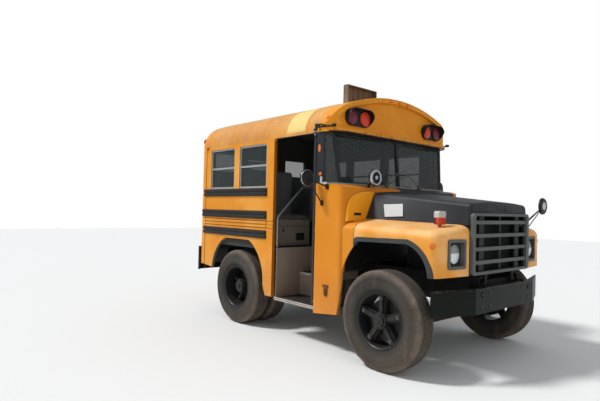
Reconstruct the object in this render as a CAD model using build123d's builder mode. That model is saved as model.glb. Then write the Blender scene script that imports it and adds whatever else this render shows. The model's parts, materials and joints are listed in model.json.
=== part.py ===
from build123d import *
import math
import os

os.makedirs("parts", exist_ok=True)

# School bus with a conventional hood, a short two-window body and its
# entrance door folded open. Millimetres, +X forward, +Y to the bus's left,
# +Z up. The origin is on the ground at the middle of the length and width.

# Running gear
tyre_radius = 527
tyre_width = 279
bead_radius = 286
wheelbase = 2705
front_axle_x = 1515
rear_axle_x = front_axle_x - wheelbase
front_wheel_y = 1136
twin_outer_y = 1086
twin_spacing = 330
kingpin_y = 1040
kingpin_radius = 20
spindle_radius = 35
front_spindle_end_y = 1230
rear_spindle_end_y = 1080
pin_clearance = 0.3
fuse = 1
hub_z = tyre_radius

# Frame rails
rail_top_z = 1000
rail_depth = 230
rail_flange = 76
rail_wall = 10
rail_outer_y = 432
frame_front_x = 2182
frame_rear_x = -2190
crossmember_width = 60
crossmember_height = 120

# Body envelope
half_width = 1219
body_rear_x = -2233
cap_front_x = 770
wall = 45
eave_z = 2600
roof_top_z = 3140
haunch_radius = 380
rear_corner_radius = 90
cap_corner_radius = 250
floor_top_z = 1147
floor_thickness = 40
skirt_z = 700
fit = 0.5

# Side openings
window_sill_z = 1951
window_head_z = 2553
window_width = 650
window_pitch = 780
window_corner = 30
rear_window_x = -1604
rear_post_back_x = -477
rear_post_front_x = -340
door_front_x = 483
rear_cap_depth = 150
arch_top_z = 1220
arch_top_reach = 312
arch_shoulder_reach = 560
arch_shoulder_z = 1000
arch_foot_reach = 655

# Stepwell
step_one_z = 498
step_two_z = 802
step_one_depth = 415
step_plate = 12

# Front body
cowl_front_x = 920
cowl_foot_z = 430
cowl_corner_radius = 60
windshield_sill_z = 1972
windshield_head_z = eave_z
windshield_wall = 40

# Hood, fenders and grille
hood_rear_x = 965
hood_front_x = 2185
hood_wall = 14
hood_hinge_x = 2165
hood_hinge_z = 930
hinge_arm_y = 300
hinge_arm_radius = 17
hinge_arm_width = 36
hinge_pin_radius = 11
lug_width = 24
lug_gap = 3
fender_rear_x = 1090
fender_front_x = 2180
fender_foot_z = 1027
fender_corner_radius = 100
fender_seam = 8
fender_wall = 14
nose_radius = 90
nose_sweep = 7
nose_start_y = 600
flare_width = 48
flare_reach = 12
grille_front_x = 2215
grille_depth = 60
grille_half_width = 635
grille_foot_z = 1031
grille_top_z = 1673
grille_side_border = 58
grille_end_border = 30
grille_corner = 45
grille_bar_height = 38
grille_bar_count = 4
grille_bar_pitch = 139.5
top_bar_z = 1576

# Headlamps
lamp_y = 835
lamp_z = 1254
bezel_width = 274
bezel_height = 300
lamp_radius = 98

# Entrance door
leaf_length = 376
leaf_thickness = 34
leaf_gap = 14
leaf_end_clearance = 8
leaf_foot_z = 520
leaf_head_z = 2585
door_hinge_x = 461
door_hinge_y = -1190
door_hinge_levels = (560, 1410, 2500)
hinge_plate = 12
hinge_plate_radius = 14
hinge_knuckle = 44
door_pin_radius = 6

# Rear door
rear_door_half_width = 330
rear_door_foot_z = 1160
rear_door_head_z = 2490
rear_door_gap = 8


# Helpers
def finish(piece, label):
    piece.part.label = label
    export_step(piece.part, f"parts/{label}.step")


def section_face(x, inset, foot_z):
    # Cross-section of the body skin: upright sides, haunch arcs and a crown arc.
    half = half_width - inset
    haunch = haunch_radius - inset
    crown_z = roof_top_z - inset
    spread = half - haunch
    rise = crown_z - eave_z
    crown_radius = (spread**2 + rise**2 - haunch**2) / (2 * (rise - haunch))
    centre_z = crown_z - crown_radius
    reach = crown_radius / (crown_radius - haunch)
    knee_y = spread * reach
    knee_z = centre_z + (eave_z - centre_z) * reach
    with BuildSketch(Plane.YZ.offset(x)) as section:
        with BuildLine():
            Line((-half, foot_z), (-half, eave_z))
            TangentArc((-half, eave_z), (-knee_y, knee_z), tangent=(0, 1))
            ThreePointArc((-knee_y, knee_z), (0, crown_z), (knee_y, knee_z))
            TangentArc((half, eave_z), (knee_y, knee_z), tangent=(0, 1))
            Line((half, eave_z), (half, foot_z))
            Line((half, foot_z), (-half, foot_z))
        make_face()
    return section.sketch


def plan_face(z, reach, rear_x):
    # Plan outline of the front cap, grown by reach, with its rounded corners.
    front_x = cap_front_x + reach
    with BuildSketch(Plane.XY.offset(z)) as plan:
        with Locations(((front_x + rear_x) / 2, 0)):
            Rectangle(front_x - rear_x, 2 * (half_width + reach))
        fillet(plan.vertices().sort_by(Axis.X)[-2:], cap_corner_radius + reach)
    return plan.sketch


def body_block(inset, foot_z):
    # Solid body envelope with its rear rim and its front corners rounded.
    rear_x = body_rear_x + inset
    with BuildPart() as block:
        extrude(section_face(rear_x, inset, foot_z), amount=cap_front_x - inset - rear_x)
        rear_rim = block.faces().sort_by(Axis.X)[0].edges().sort_by(Axis.Z)[1:]
        fillet(rear_rim, rear_corner_radius - inset)
        extrude(
            plan_face(foot_z, -inset, rear_x - 10),
            amount=roof_top_z - foot_z,
            mode=Mode.INTERSECT,
        )
    return block.part


def box_between(low, high):
    # Block given by its lowest and highest corners.
    size = [b - a for a, b in zip(low, high)]
    corner = (Align.MIN, Align.MIN, Align.MIN)
    return Pos(*low) * Box(*size, align=corner, mode=Mode.PRIVATE)


shell = body_block(0, skirt_z - 100) - body_block(wall, skirt_z - 200)


# Chassis frame: two channel rails and their crossmembers
rail_bottom_z = rail_top_z - rail_depth
rail_mid_z = rail_top_z - rail_depth / 2
crossmember_stations = (2110, 330, -700, -2140)

with BuildPart() as chassis_frame:
    with BuildSketch(Plane.YZ.offset(frame_rear_x)):
        with Locations((rail_outer_y - rail_flange / 2, rail_mid_z)):
            Rectangle(rail_flange, rail_depth)
        with Locations((rail_outer_y - rail_wall - rail_flange / 2, rail_mid_z)):
            Rectangle(rail_flange, rail_depth - 2 * rail_wall, mode=Mode.SUBTRACT)
    extrude(amount=frame_front_x - frame_rear_x)
    mirror(about=Plane.XZ)
    with Locations([(x, 0, rail_mid_z) for x in crossmember_stations]):
        Box(crossmember_width, 2 * (rail_outer_y - rail_wall), crossmember_height)
    # Lugs and pins that carry the tilting hood
    lug_front_x = hood_hinge_x + hinge_arm_radius
    lug_rear_x = crossmember_stations[0] + crossmember_width / 2 - 1
    for side in (-1, 1):
        lug_y = side * (hinge_arm_y + hinge_arm_width / 2 + lug_gap + lug_width / 2)
        with Locations(((lug_front_x + lug_rear_x) / 2, lug_y, hood_hinge_z)):
            Box(lug_front_x - lug_rear_x, lug_width, 2 * hinge_arm_radius)
        with Locations((hood_hinge_x, side * (hinge_arm_y + lug_gap), hood_hinge_z)):
            Cylinder(hinge_pin_radius, hinge_arm_width + 2 * lug_gap, rotation=(90, 0, 0))
finish(chassis_frame, "chassis_frame")


# Bumpers: the front one is a channel with swept ends, the rear one upright
front_bumper_face_x = 2265
front_bumper_crease_y = 649
front_bumper_end_x = 2080
front_bumper_end_y = 1161
front_bumper_foot_z = 645
front_bumper_top_z = 905
front_bumper_flange = 60
bumper_plate = 8
tow_hole_y = 523
tow_hole_z = 840
tow_hole_radius = 28
rear_bumper_foot_z = 668
rear_bumper_top_z = 1036
rear_bumper_half_width = 1229
rear_bumper_reach = 32

front_bumper_path = [
    (front_bumper_end_x, -front_bumper_end_y),
    (front_bumper_face_x, -front_bumper_crease_y),
    (front_bumper_face_x, front_bumper_crease_y),
    (front_bumper_end_x, front_bumper_end_y),
]


def bumper_strip(depth, end_depth):
    # Plan outline of the front bumper, a strip behind its face.
    depths = (end_depth, depth, depth, end_depth)
    back = [(x - d, y) for (x, y), d in zip(reversed(front_bumper_path), depths)]
    with BuildSketch() as strip:
        with BuildLine():
            Polyline(*front_bumper_path, *back, close=True)
        make_face()
    return strip.sketch


rear_bumper_x = body_rear_x - rear_bumper_reach
bracket_length = 200
bracket_height = 140
bracket_drop = 30
rear_bumper_depth = 90
rear_bumper_corner = 30
rear_bracket_length = 140
rear_bracket_plate = 12
rear_bracket_height = 120
with BuildPart() as bumpers:
    front_levels = (front_bumper_foot_z, front_bumper_top_z - bumper_plate)
    extrude(
        Pos(0, 0, front_bumper_foot_z) * bumper_strip(bumper_plate, bumper_plate),
        amount=front_bumper_top_z - front_bumper_foot_z,
    )
    for level in front_levels:
        extrude(Pos(0, 0, level) * bumper_strip(front_bumper_flange, bumper_plate + 4), amount=bumper_plate)
    with BuildSketch(Plane.YZ.offset(front_bumper_face_x)):
        with Locations((-tow_hole_y, tow_hole_z), (tow_hole_y, tow_hole_z)):
            Circle(tow_hole_radius)
    extrude(amount=-front_bumper_flange, mode=Mode.SUBTRACT)
    # Brackets that carry the front bumper on the rails
    for side in (-1, 1):
        bracket_y = side * (rail_outer_y + bumper_plate / 2)
        with Locations((front_bumper_face_x - bracket_length / 2, bracket_y, rail_mid_z - bracket_drop)):
            Box(bracket_length - 2 * bumper_plate, bumper_plate, bracket_height)
    with BuildSketch(Plane.XY.offset(rear_bumper_foot_z)):
        with Locations((rear_bumper_x + rear_bumper_depth / 2, 0)):
            RectangleRounded(rear_bumper_depth, 2 * rear_bumper_half_width, rear_bumper_corner)
        with Locations((rear_bumper_x + rear_bumper_depth + bumper_plate, 0)):
            RectangleRounded(
                2 * rear_bumper_depth,
                2 * (rear_bumper_half_width - bumper_plate),
                rear_bumper_corner - bumper_plate,
                mode=Mode.SUBTRACT,
            )
    extrude(amount=rear_bumper_top_z - rear_bumper_foot_z)
    for side in (-1, 1):
        bracket_x = rear_bumper_x + rear_bracket_length / 2
        with Locations((bracket_x, side * (rail_outer_y + rear_bracket_plate / 2), rail_mid_z)):
            Box(rear_bracket_length - 2 * bumper_plate, rear_bracket_plate, rear_bracket_height)
finish(bumpers, "bumpers")


# Axles: forged front beam with kingpin eyes, rear housing with drive shaft
beam_thickness = 90
eye_radius = 42
eye_height = 90
spring_y = rail_outer_y - rail_flange / 2
spring_width = 74
front_spring_seat_z = 545
rear_tube_radius = 62
rear_spring_seat_z = hub_z + rear_tube_radius + 4
differential_radius = 195
shaft_radius = 45
gearbox_end_x = 700
gearbox_z = 830
beam_outline = [
    (0, 400),
    (640, 400),
    (900, hub_z - eye_height / 2),
    (kingpin_y, hub_z - eye_height / 2),
    (kingpin_y, hub_z + eye_height / 2),
    (880, hub_z + eye_height / 2),
    (620, 490),
    (0, 490),
]

with BuildPart() as axles:
    with BuildSketch(Plane.YZ.offset(front_axle_x - beam_thickness / 2)):
        with BuildLine():
            Polyline(*beam_outline, close=True)
        make_face()
    extrude(amount=beam_thickness)
    with Locations((front_axle_x, kingpin_y, hub_z)):
        Cylinder(eye_radius + 6, eye_height)
    with Locations((front_axle_x, spring_y, (400 + front_spring_seat_z) / 2)):
        Box(beam_thickness + 40, spring_width, front_spring_seat_z - 400)
    with Locations((front_axle_x, kingpin_y, hub_z)):
        Cylinder(kingpin_radius + pin_clearance, eye_height, mode=Mode.SUBTRACT)
    mirror(about=Plane.XZ)
    with Locations((rear_axle_x, 0, hub_z)):
        Cylinder(rear_tube_radius, 2 * (twin_outer_y - 120), rotation=(90, 0, 0))
        Sphere(differential_radius)
        Cylinder(spindle_radius, 2 * rear_spindle_end_y, rotation=(90, 0, 0))
    for side in (-1, 1):
        with Locations((rear_axle_x, side * spring_y, (hub_z + rear_spring_seat_z) / 2)):
            Box(beam_thickness + 40, spring_width, rear_spring_seat_z - hub_z)
    shaft_start = Vector(gearbox_end_x - 9, 0, gearbox_z)
    shaft_end = Vector(rear_axle_x + differential_radius - 40, 0, hub_z + 20)
    with BuildSketch(Plane(origin=shaft_start, z_dir=shaft_end - shaft_start)):
        Circle(shaft_radius)
    extrude(amount=(shaft_end - shaft_start).length)
finish(axles, "axles")


# Leaf springs on both axles, with hangers up to the rails
leaf_thickness_each = 12
leaf_count = 4
spring_bow_radius = 2000
spring_half_length = 620
eye_outer_radius = 26
spring_seats = ((front_axle_x, front_spring_seat_z), (rear_axle_x, rear_spring_seat_z))

with BuildPart() as leaf_springs:
    for seat_x, seat_z in spring_seats:
        top_leaf_z = seat_z + leaf_count * leaf_thickness_each
        bow_z = top_leaf_z + spring_bow_radius - leaf_thickness_each
        for leaf in range(leaf_count):
            half_angle = math.degrees(spring_half_length * (1 - 0.2 * leaf) / spring_bow_radius)
            inner = spring_bow_radius - leaf_thickness_each + leaf * leaf_thickness_each
            with BuildSketch(Plane.XZ.offset(-spring_y - spring_width / 2)):
                with BuildLine():
                    top_arc = CenterArc((seat_x, bow_z), inner, 270 - half_angle, 2 * half_angle)
                    low_arc = CenterArc(
                        (seat_x, bow_z), inner + leaf_thickness_each, 270 - half_angle, 2 * half_angle
                    )
                    Line(top_arc @ 0, low_arc @ 0)
                    Line(top_arc @ 1, low_arc @ 1)
                make_face()
            extrude(amount=spring_width)
        sag_angle = spring_half_length / spring_bow_radius
        eye_z = bow_z - (spring_bow_radius - leaf_thickness_each) * math.cos(sag_angle)
        for end in (-1, 1):
            eye_x = seat_x + end * spring_bow_radius * math.sin(sag_angle)
            with Locations((eye_x, spring_y, eye_z)):
                Cylinder(eye_outer_radius, spring_width, rotation=(90, 0, 0))
            with Locations((eye_x, spring_y, (eye_z + rail_bottom_z) / 2)):
                Box(30, spring_width, rail_bottom_z - eye_z)
    mirror(about=Plane.XZ)
finish(leaf_springs, "leaf_springs")


# Engine with gearbox, one heavy block on its mounts
engine_half_width = 240
engine_rear_x = 1120
engine_front_x = 1930
engine_foot_z = 640
engine_top_z = 1330
with BuildPart() as engine_block:
    add(box_between(
        (engine_rear_x, -engine_half_width, engine_foot_z + 120),
        (engine_front_x, engine_half_width, engine_top_z),
    ))
    fillet(engine_block.edges().filter_by(Axis.X), 40)
    add(box_between((engine_rear_x, -130, engine_foot_z), (engine_front_x - 150, 130, 800)))
    with Locations(((engine_rear_x + gearbox_end_x) / 2, 0, gearbox_z)):
        Cylinder(145, engine_rear_x - gearbox_end_x, rotation=(0, 90, 0))
    mount_reach = 2 * (rail_outer_y - rail_wall)
    with Locations((engine_front_x - 160, 0, rail_mid_z), (engine_rear_x + 120, 0, rail_mid_z)):
        Box(90, mount_reach, 70)
finish(engine_block, "engine_block")


# Radiator standing on the rails behind the grille
radiator_x = 2095
radiator_depth = 70
radiator_half_width = 425
radiator_top_z = 1600
tank_height = 70
core_border = 50
core_recess = 8
baffle_half_width = 575
baffle_thickness = 12
with BuildPart() as radiator:
    radiator_mid_z = (rail_top_z + radiator_top_z) / 2
    radiator_height = radiator_top_z - rail_top_z
    with Locations((radiator_x, 0, radiator_mid_z)):
        Box(radiator_depth, 2 * radiator_half_width, radiator_height)
    with Locations((radiator_x + radiator_depth / 2, 0, radiator_mid_z)):
        Box(
            2 * core_recess,
            2 * (radiator_half_width - core_border),
            radiator_height - 2 * tank_height,
            mode=Mode.SUBTRACT,
        )
    # Air baffles that close the gap on both sides of the core
    with Locations((radiator_x - (radiator_depth - baffle_thickness) / 2, 0, radiator_mid_z)):
        Box(baffle_thickness, 2 * baffle_half_width, radiator_height)
finish(radiator, "radiator")


# Exhaust along the left rail, over the rear axle and out under the bumper
pipe_radius = 32
pipe_y = 525
muffler_radius = 88
muffler_y = pipe_y
exhaust_route = [
    (1185, engine_half_width + 1, 710),
    (1185, pipe_y, 710),
    (350, pipe_y, 800),
    (-1750, pipe_y, 800),
    (-1960, pipe_y, 620),
    (body_rear_x - 25, pipe_y, 590),
]
with BuildPart() as exhaust:
    with BuildLine():
        pipe_path = FilletPolyline(*exhaust_route, radius=110)
    with BuildSketch(Plane(origin=pipe_path @ 0, z_dir=pipe_path % 0)):
        Circle(pipe_radius)
    sweep()
    with Locations((-160, muffler_y, 800)):
        Cylinder(muffler_radius, 640, rotation=(0, 90, 0))
    for hanger_x in (-430, -1600):
        with Locations((hanger_x, (rail_outer_y + pipe_y) / 2, 820)):
            Box(30, pipe_y - rail_outer_y, 14)
finish(exhaust, "exhaust")


# Fuel tank between the rails behind the rear axle
tank_front_x = -1530
tank_rear_x = -2090
with BuildPart() as fuel_tank:
    add(box_between((tank_rear_x, -300, 655), (tank_front_x, 300, 960)))
    fillet(fuel_tank.edges().filter_by(Axis.X), 60)
    for strap_x in (tank_rear_x + 120, tank_front_x - 120):
        with Locations((strap_x, 0, rail_bottom_z + rail_wall + 10)):
            Box(50, 2 * (rail_outer_y - rail_wall - 2), 20)
finish(fuel_tank, "fuel_tank")


# Floor with cross sills, wheelhouses and the opening over the stepwell
inner_y = half_width - wall
floor_foot_z = floor_top_z - floor_thickness
well_rear_x = rear_post_front_x + wall
well_front_x = door_front_x
well_inner_y = rail_outer_y + step_plate
tub_half_length = 610
tub_inner_y = 560
tub_top_z = 1290
tub_wall = 20
sill_stations = (-2060, -1650, -760, -420, 600)
floor_seam = 2
with BuildPart() as floor:
    add(box_between(
        (body_rear_x + wall, -inner_y, floor_foot_z),
        (cowl_front_x - wall, inner_y, floor_top_z),
    ))
    fillet(floor.edges().filter_by(Axis.Z).sort_by(Axis.X)[:2], rear_corner_radius)
    add(
        box_between(
            (well_rear_x - step_plate, -inner_y - 1, floor_foot_z - 1),
            (well_front_x + step_plate, -well_inner_y, floor_top_z + 1),
        ),
        mode=Mode.SUBTRACT,
    )
    for side in (-1, 1):
        tub_mid_y = side * (inner_y + tub_inner_y) / 2
        with Locations((rear_axle_x, tub_mid_y, (floor_foot_z + tub_top_z) / 2)):
            Box(2 * tub_half_length, inner_y - tub_inner_y, tub_top_z - floor_foot_z)
    for side in (-1, 1):
        tub_mid_y = side * (inner_y + tub_inner_y) / 2
        hollow_z = (floor_foot_z + tub_top_z - tub_wall) / 2
        with Locations((rear_axle_x, tub_mid_y, hollow_z)):
            Box(
                2 * (tub_half_length - tub_wall),
                inner_y - tub_inner_y - 2 * tub_wall,
                tub_top_z - tub_wall - floor_foot_z,
                mode=Mode.SUBTRACT,
            )
    for sill_x in sill_stations:
        with Locations((sill_x, 0, (rail_top_z + floor_foot_z) / 2)):
            Box(70, 2 * 1100, floor_foot_z - rail_top_z)
    for side in (-1, 1):
        with Locations((rear_axle_x, side * 900, (rail_top_z + floor_foot_z) / 2)):
            Box(2 * tub_half_length + 60, 690, floor_foot_z - rail_top_z + 2, mode=Mode.SUBTRACT)
    # The front and rear floor sheets meet at the tubs' front faces.
    seam_x = rear_axle_x + tub_half_length + floor_seam / 2
    with Locations((seam_x, 0, (floor_foot_z + floor_top_z) / 2)):
        Box(floor_seam, 2 * inner_y + 2, floor_thickness + 2, mode=Mode.SUBTRACT)
finish(floor, "floor")


# Stepwell: two treads, risers and cheek plates
well_outer_y = half_width - 8
with BuildPart() as stepwell:
    tread_split_y = inner_y - step_one_depth
    with BuildSketch(Plane.YZ.offset(well_rear_x)):
        with BuildLine():
            Polyline(
                (-well_outer_y, step_one_z - step_plate),
                (-tread_split_y + step_plate, step_one_z - step_plate),
                (-tread_split_y + step_plate, step_two_z - step_plate),
                (-well_inner_y, step_two_z - step_plate),
                (-well_inner_y, floor_top_z),
                (-well_inner_y - step_plate, floor_top_z),
                (-well_inner_y - step_plate, step_two_z),
                (-tread_split_y, step_two_z),
                (-tread_split_y, step_one_z),
                (-well_outer_y, step_one_z),
                close=True,
            )
        make_face()
    extrude(amount=well_front_x - well_rear_x)
    for cheek_x in (well_rear_x - step_plate, well_front_x):
        with BuildSketch(Plane.YZ.offset(cheek_x)):
            with BuildLine():
                Polyline(
                    (-inner_y + fit, step_one_z - step_plate),
                    (-tread_split_y + step_plate, step_one_z - step_plate),
                    (-tread_split_y + step_plate, step_two_z - step_plate),
                    (-well_inner_y, step_two_z - step_plate),
                    (-well_inner_y, floor_top_z),
                    (-inner_y + fit, floor_top_z),
                    close=True,
                )
            make_face()
        extrude(amount=step_plate)
finish(stepwell, "stepwell")


# Side walls: the right one ends at the door's rear post, the left one at the cowl
def arch_face(centre_x, foot_z):
    # Wheel opening: straight top, rounded flanks.
    with BuildSketch(Plane.XZ) as arch:
        with BuildLine():
            Line((centre_x - arch_top_reach, arch_top_z), (centre_x + arch_top_reach, arch_top_z))
            ThreePointArc(
                (centre_x + arch_top_reach, arch_top_z),
                (centre_x + arch_shoulder_reach, arch_shoulder_z),
                (centre_x + arch_foot_reach, foot_z),
            )
            Line((centre_x + arch_foot_reach, foot_z), (centre_x - arch_foot_reach, foot_z))
            ThreePointArc(
                (centre_x - arch_foot_reach, foot_z),
                (centre_x - arch_shoulder_reach, arch_shoulder_z),
                (centre_x - arch_top_reach, arch_top_z),
            )
        make_face()
    return arch.sketch


window_mid_z = (window_sill_z + window_head_z) / 2
window_height = window_head_z - window_sill_z
right_windows = [rear_window_x, rear_window_x + window_pitch]
left_windows = right_windows + [rear_window_x + 2 * window_pitch]
post_foot_z = 501
rear_split_x = body_rear_x + rear_cap_depth
rib_height = 26
rib_reach = 9
rib_levels = (1424, 1476)


def side_wall(side, front_x, windows, outline):
    # One wall as thick as the whole wall, cut by its windows and its wheel arch.
    near_y = side * (half_width - wall)
    with BuildPart() as panel:
        with BuildSketch(Plane.XZ.offset(-near_y)):
            with BuildLine():
                Polyline(*outline, close=True)
            make_face()
            for window_x in windows:
                with Locations((window_x, window_mid_z)):
                    RectangleRounded(window_width, window_height, window_corner, mode=Mode.SUBTRACT)
            add(arch_face(rear_axle_x, skirt_z - 100), mode=Mode.SUBTRACT)
        extrude(amount=-side * wall)
        for level in rib_levels:
            with Locations(((rear_split_x + front_x) / 2, side * half_width, level)):
                Box(front_x - rear_split_x, 2 * rib_reach, rib_height)
    return panel


right_outline = [
    (rear_split_x, skirt_z + 69),
    (rear_axle_x - arch_foot_reach, skirt_z + 45),
    (rear_axle_x - arch_foot_reach, skirt_z),
    (rear_axle_x + arch_foot_reach, skirt_z - 60),
    (rear_post_back_x, post_foot_z),
    (rear_post_front_x, post_foot_z),
    (rear_post_front_x, eave_z),
    (rear_split_x, eave_z),
]
right_wall = side_wall(-1, rear_post_back_x, right_windows, right_outline)
finish(right_wall, "right_wall")

left_outline = [
    (rear_split_x, skirt_z + 69),
    (rear_axle_x - arch_foot_reach, skirt_z + 45),
    (rear_axle_x - arch_foot_reach, skirt_z),
    (rear_axle_x + arch_foot_reach, skirt_z),
    (door_front_x, skirt_z),
    (door_front_x, eave_z),
    (rear_split_x, eave_z),
]
left_wall = side_wall(1, door_front_x, left_windows, left_outline)
finish(left_wall, "left_wall")


# Rub rails: three ribbed bands on each side
rail_band_height = 115
rail_band_reach = 24
rail_groove = 12
rub_rail_rows = (
    # foot height, rear end on the right, front end on the right
    (1834, -2100, rear_post_back_x - 4),
    (1520, -2140, rear_post_back_x - 4),
    (1256, -2100, rear_post_back_x - 4),
)
with BuildPart() as rub_rails:
    for side in (-1, 1):
        for foot_z, rear_x, right_front_x in rub_rail_rows:
            front_x = right_front_x if side < 0 else door_front_x - 4
            skin = side * half_width
            out = side * (half_width + rail_band_reach)
            mid = foot_z + rail_band_height / 2
            with BuildSketch(Plane.YZ.offset(rear_x)):
                with BuildLine():
                    Polyline(
                        (skin, foot_z),
                        (out, foot_z + 12),
                        (out, mid - 18),
                        (out - side * rail_groove, mid - 6),
                        (out - side * rail_groove, mid + 6),
                        (out, mid + 18),
                        (out, foot_z + rail_band_height - 12),
                        (skin, foot_z + rail_band_height),
                        close=True,
                    )
                make_face()
            extrude(amount=front_x - rear_x)
finish(rub_rails, "rub_rails")


# Roof panel between the rear wall and the front cap
cap_rear_x = cap_front_x - cap_corner_radius
shell_margin = 50
with BuildPart() as roof:
    add(shell)
    add(
        box_between(
            (rear_split_x, -half_width - shell_margin, eave_z),
            (cap_rear_x, half_width + shell_margin, roof_top_z + shell_margin),
        ),
        mode=Mode.INTERSECT,
    )
finish(roof, "roof")


# Front cap with its recessed lamp panel and the drip rail below
cap_foot_z = windshield_head_z
lip_thickness = 62
panel_recess = 42
panel_wall = 14
drip_height = 46
drip_reach = 26
drip_foot_z = cap_foot_z
lamp_panel_x = cap_front_x - panel_recess
with BuildPart() as panel_cutter:
    extrude(section_face(lamp_panel_x, lip_thickness, cap_foot_z - 50), amount=panel_recess + 10)
    add(
        box_between(
            (lamp_panel_x - 10, -half_width, cap_foot_z - 100),
            (cap_front_x + 50, half_width, drip_foot_z + drip_height + 20),
        ),
        mode=Mode.SUBTRACT,
    )

with BuildPart() as front_cap:
    add(shell)
    add(
        box_between(
            (cap_rear_x, -half_width - shell_margin, cap_foot_z),
            (cap_front_x + shell_margin, half_width + shell_margin, roof_top_z + shell_margin),
        ),
        mode=Mode.INTERSECT,
    )
    add(panel_cutter.part, mode=Mode.SUBTRACT)
    add(
        body_block(wall - 5, cap_foot_z - 100)
        & box_between(
            (lamp_panel_x - panel_wall, -half_width, drip_foot_z + drip_height),
            (lamp_panel_x, half_width, roof_top_z),
        )
    )
    extrude(plan_face(drip_foot_z, drip_reach, cap_rear_x), amount=drip_height)
    extrude(
        plan_face(drip_foot_z, -wall, cap_rear_x),
        amount=drip_height,
        mode=Mode.SUBTRACT,
    )
finish(front_cap, "front_cap")


# Rear wall with its door opening and two fixed windows
rear_notch_half_width = 700
rear_notch_top_z = 1060
rear_glass_y = 740
rear_glass_width = 480
rear_skirt_z = skirt_z + 69
with BuildPart() as rear_wall:
    add(shell)
    add(
        box_between(
            (body_rear_x - shell_margin, -half_width - shell_margin, rear_skirt_z),
            (rear_split_x, half_width + shell_margin, roof_top_z + shell_margin),
        ),
        mode=Mode.INTERSECT,
    )
    add(
        box_between(
            (body_rear_x - 20, -rear_notch_half_width, rear_skirt_z - 20),
            (rear_split_x + 20, rear_notch_half_width, rear_notch_top_z),
        ),
        mode=Mode.SUBTRACT,
    )
    opening_half = rear_door_half_width + rear_door_gap
    add(
        box_between(
            (body_rear_x - 20, -opening_half, rear_door_foot_z - rear_door_gap),
            (rear_split_x, opening_half, rear_door_head_z + rear_door_gap),
        ),
        mode=Mode.SUBTRACT,
    )
    with BuildSketch(Plane.YZ.offset(body_rear_x - 20)):
        with Locations((-rear_glass_y, window_mid_z), (rear_glass_y, window_mid_z)):
            RectangleRounded(rear_glass_width, window_height, window_corner)
    extrude(amount=100, mode=Mode.SUBTRACT)
finish(rear_wall, "rear_wall")


# Front body: cowl sides, bulkhead, deck and windshield surround
pillar_foot = (622, half_width)
pillar_head = (600, half_width)
corner_foot = (740, 1055)
centre_foot = (795, 0)
corner_share = 0.58
# The heads run parallel to the feet, so that every pane is flat
corner_head = (
    pillar_head[0] + corner_share * (corner_foot[0] - pillar_foot[0]),
    pillar_head[1] + corner_share * (corner_foot[1] - pillar_foot[1]),
)
centre_head = (
    corner_head[0] + (centre_foot[0] - corner_foot[0]) * corner_head[1] / corner_foot[1],
    0,
)
pane_margin = 20
pane_corner = 30
deck_front_z = 1925
extension_front_x = 958


def plan_ring(z, rear_x, pillar, corner, centre):
    # Plan outline of the windshield surround at one height.
    half = [(rear_x, pillar[1]), pillar, corner, centre]
    mirrored = [(x, -y) for x, y in reversed(half[:-1])]
    with BuildSketch(Plane.XY.offset(z)) as ring:
        with BuildLine():
            Polyline(*half, *mirrored, close=True)
        make_face()
    return ring.sketch


def shrink(point, amount):
    # A plan corner moved inward by the wall.
    x, y = point
    return (x - amount, y - math.copysign(amount, y) if y else y)


def surround_block(inset, z_low, z_high):
    foot = [shrink(p, inset) for p in (pillar_foot, corner_foot, centre_foot)]
    head = [shrink(p, inset) for p in (pillar_head, corner_head, centre_head)]
    with BuildPart() as block:
        loft([
            plan_ring(z_low, door_front_x - inset, *foot).faces()[0],
            plan_ring(z_high, door_front_x - inset, *head).faces()[0],
        ])
    return block.part


def pane_quads():
    # The four panes' outer corners, counted foot, foot, head, head.
    quads = []
    for side in (-1, 1):
        for foot_a, foot_b, head_b, head_a in (
            (pillar_foot, corner_foot, corner_head, pillar_head),
            (corner_foot, centre_foot, centre_head, corner_head),
        ):
            quads.append([
                Vector(foot_a[0], side * foot_a[1], windshield_sill_z),
                Vector(foot_b[0], side * foot_b[1], windshield_sill_z),
                Vector(head_b[0], side * head_b[1], windshield_head_z),
                Vector(head_a[0], side * head_a[1], windshield_head_z),
            ])
    return quads


def pane_sketch(quad, margin, lift):
    # One pane's outline drawn in by the margin and lifted off its plane.
    along = quad[1] - quad[0]
    outward = along.cross(quad[3] - quad[0])
    if outward.X < 0:
        outward = outward * -1
    middle = (quad[0] + quad[1] + quad[2] + quad[3]) * 0.25
    plane = Plane(origin=middle, x_dir=along, z_dir=outward)
    corners = [plane.to_local_coords(point) for point in quad]
    with BuildSketch(plane.offset(lift)) as pane:
        with BuildLine():
            Polyline(*[(point.X, point.Y) for point in corners], close=True)
        make_face()
        offset(amount=-margin)
        fillet(pane.vertices(), pane_corner)
    return pane.sketch


# Hood sections at its rear and front ends, half outlines from crown to base
hood_rear = {"crown_z": 1925, "shoulder_y": 700, "shoulder_z": 1888, "base_y": 850, "base_z": 1577}
hood_front = {"crown_z": 1800, "shoulder_y": 622, "shoulder_z": 1772, "base_y": 665, "base_z": 1545}
hood_shoulder_radius = 60
hood_front_radius = 36
hood_recess = (10, 240, 52)
hood_recess_z = 1731


def hood_section(x, inset):
    # Cross-section of the hood at station x, by the straight line between its ends.
    share = (x - hood_rear_x) / (hood_front_x - hood_rear_x)
    at = {key: hood_rear[key] + share * (hood_front[key] - hood_rear[key]) for key in hood_rear}
    shoulder = (at["shoulder_y"] - inset, at["shoulder_z"] - inset)
    base = (at["base_y"] - inset, at["base_z"])
    with BuildSketch(Plane.YZ.offset(x)) as section:
        with BuildLine():
            Polyline((-shoulder[0], shoulder[1]), (-base[0], base[1]), (base[0], base[1]), shoulder)
            ThreePointArc((-shoulder[0], shoulder[1]), (0, at["crown_z"] - inset), shoulder)
        make_face()
        fillet(section.vertices().sort_by(Axis.Y)[-2:], hood_shoulder_radius - inset)
    return section.sketch


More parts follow.
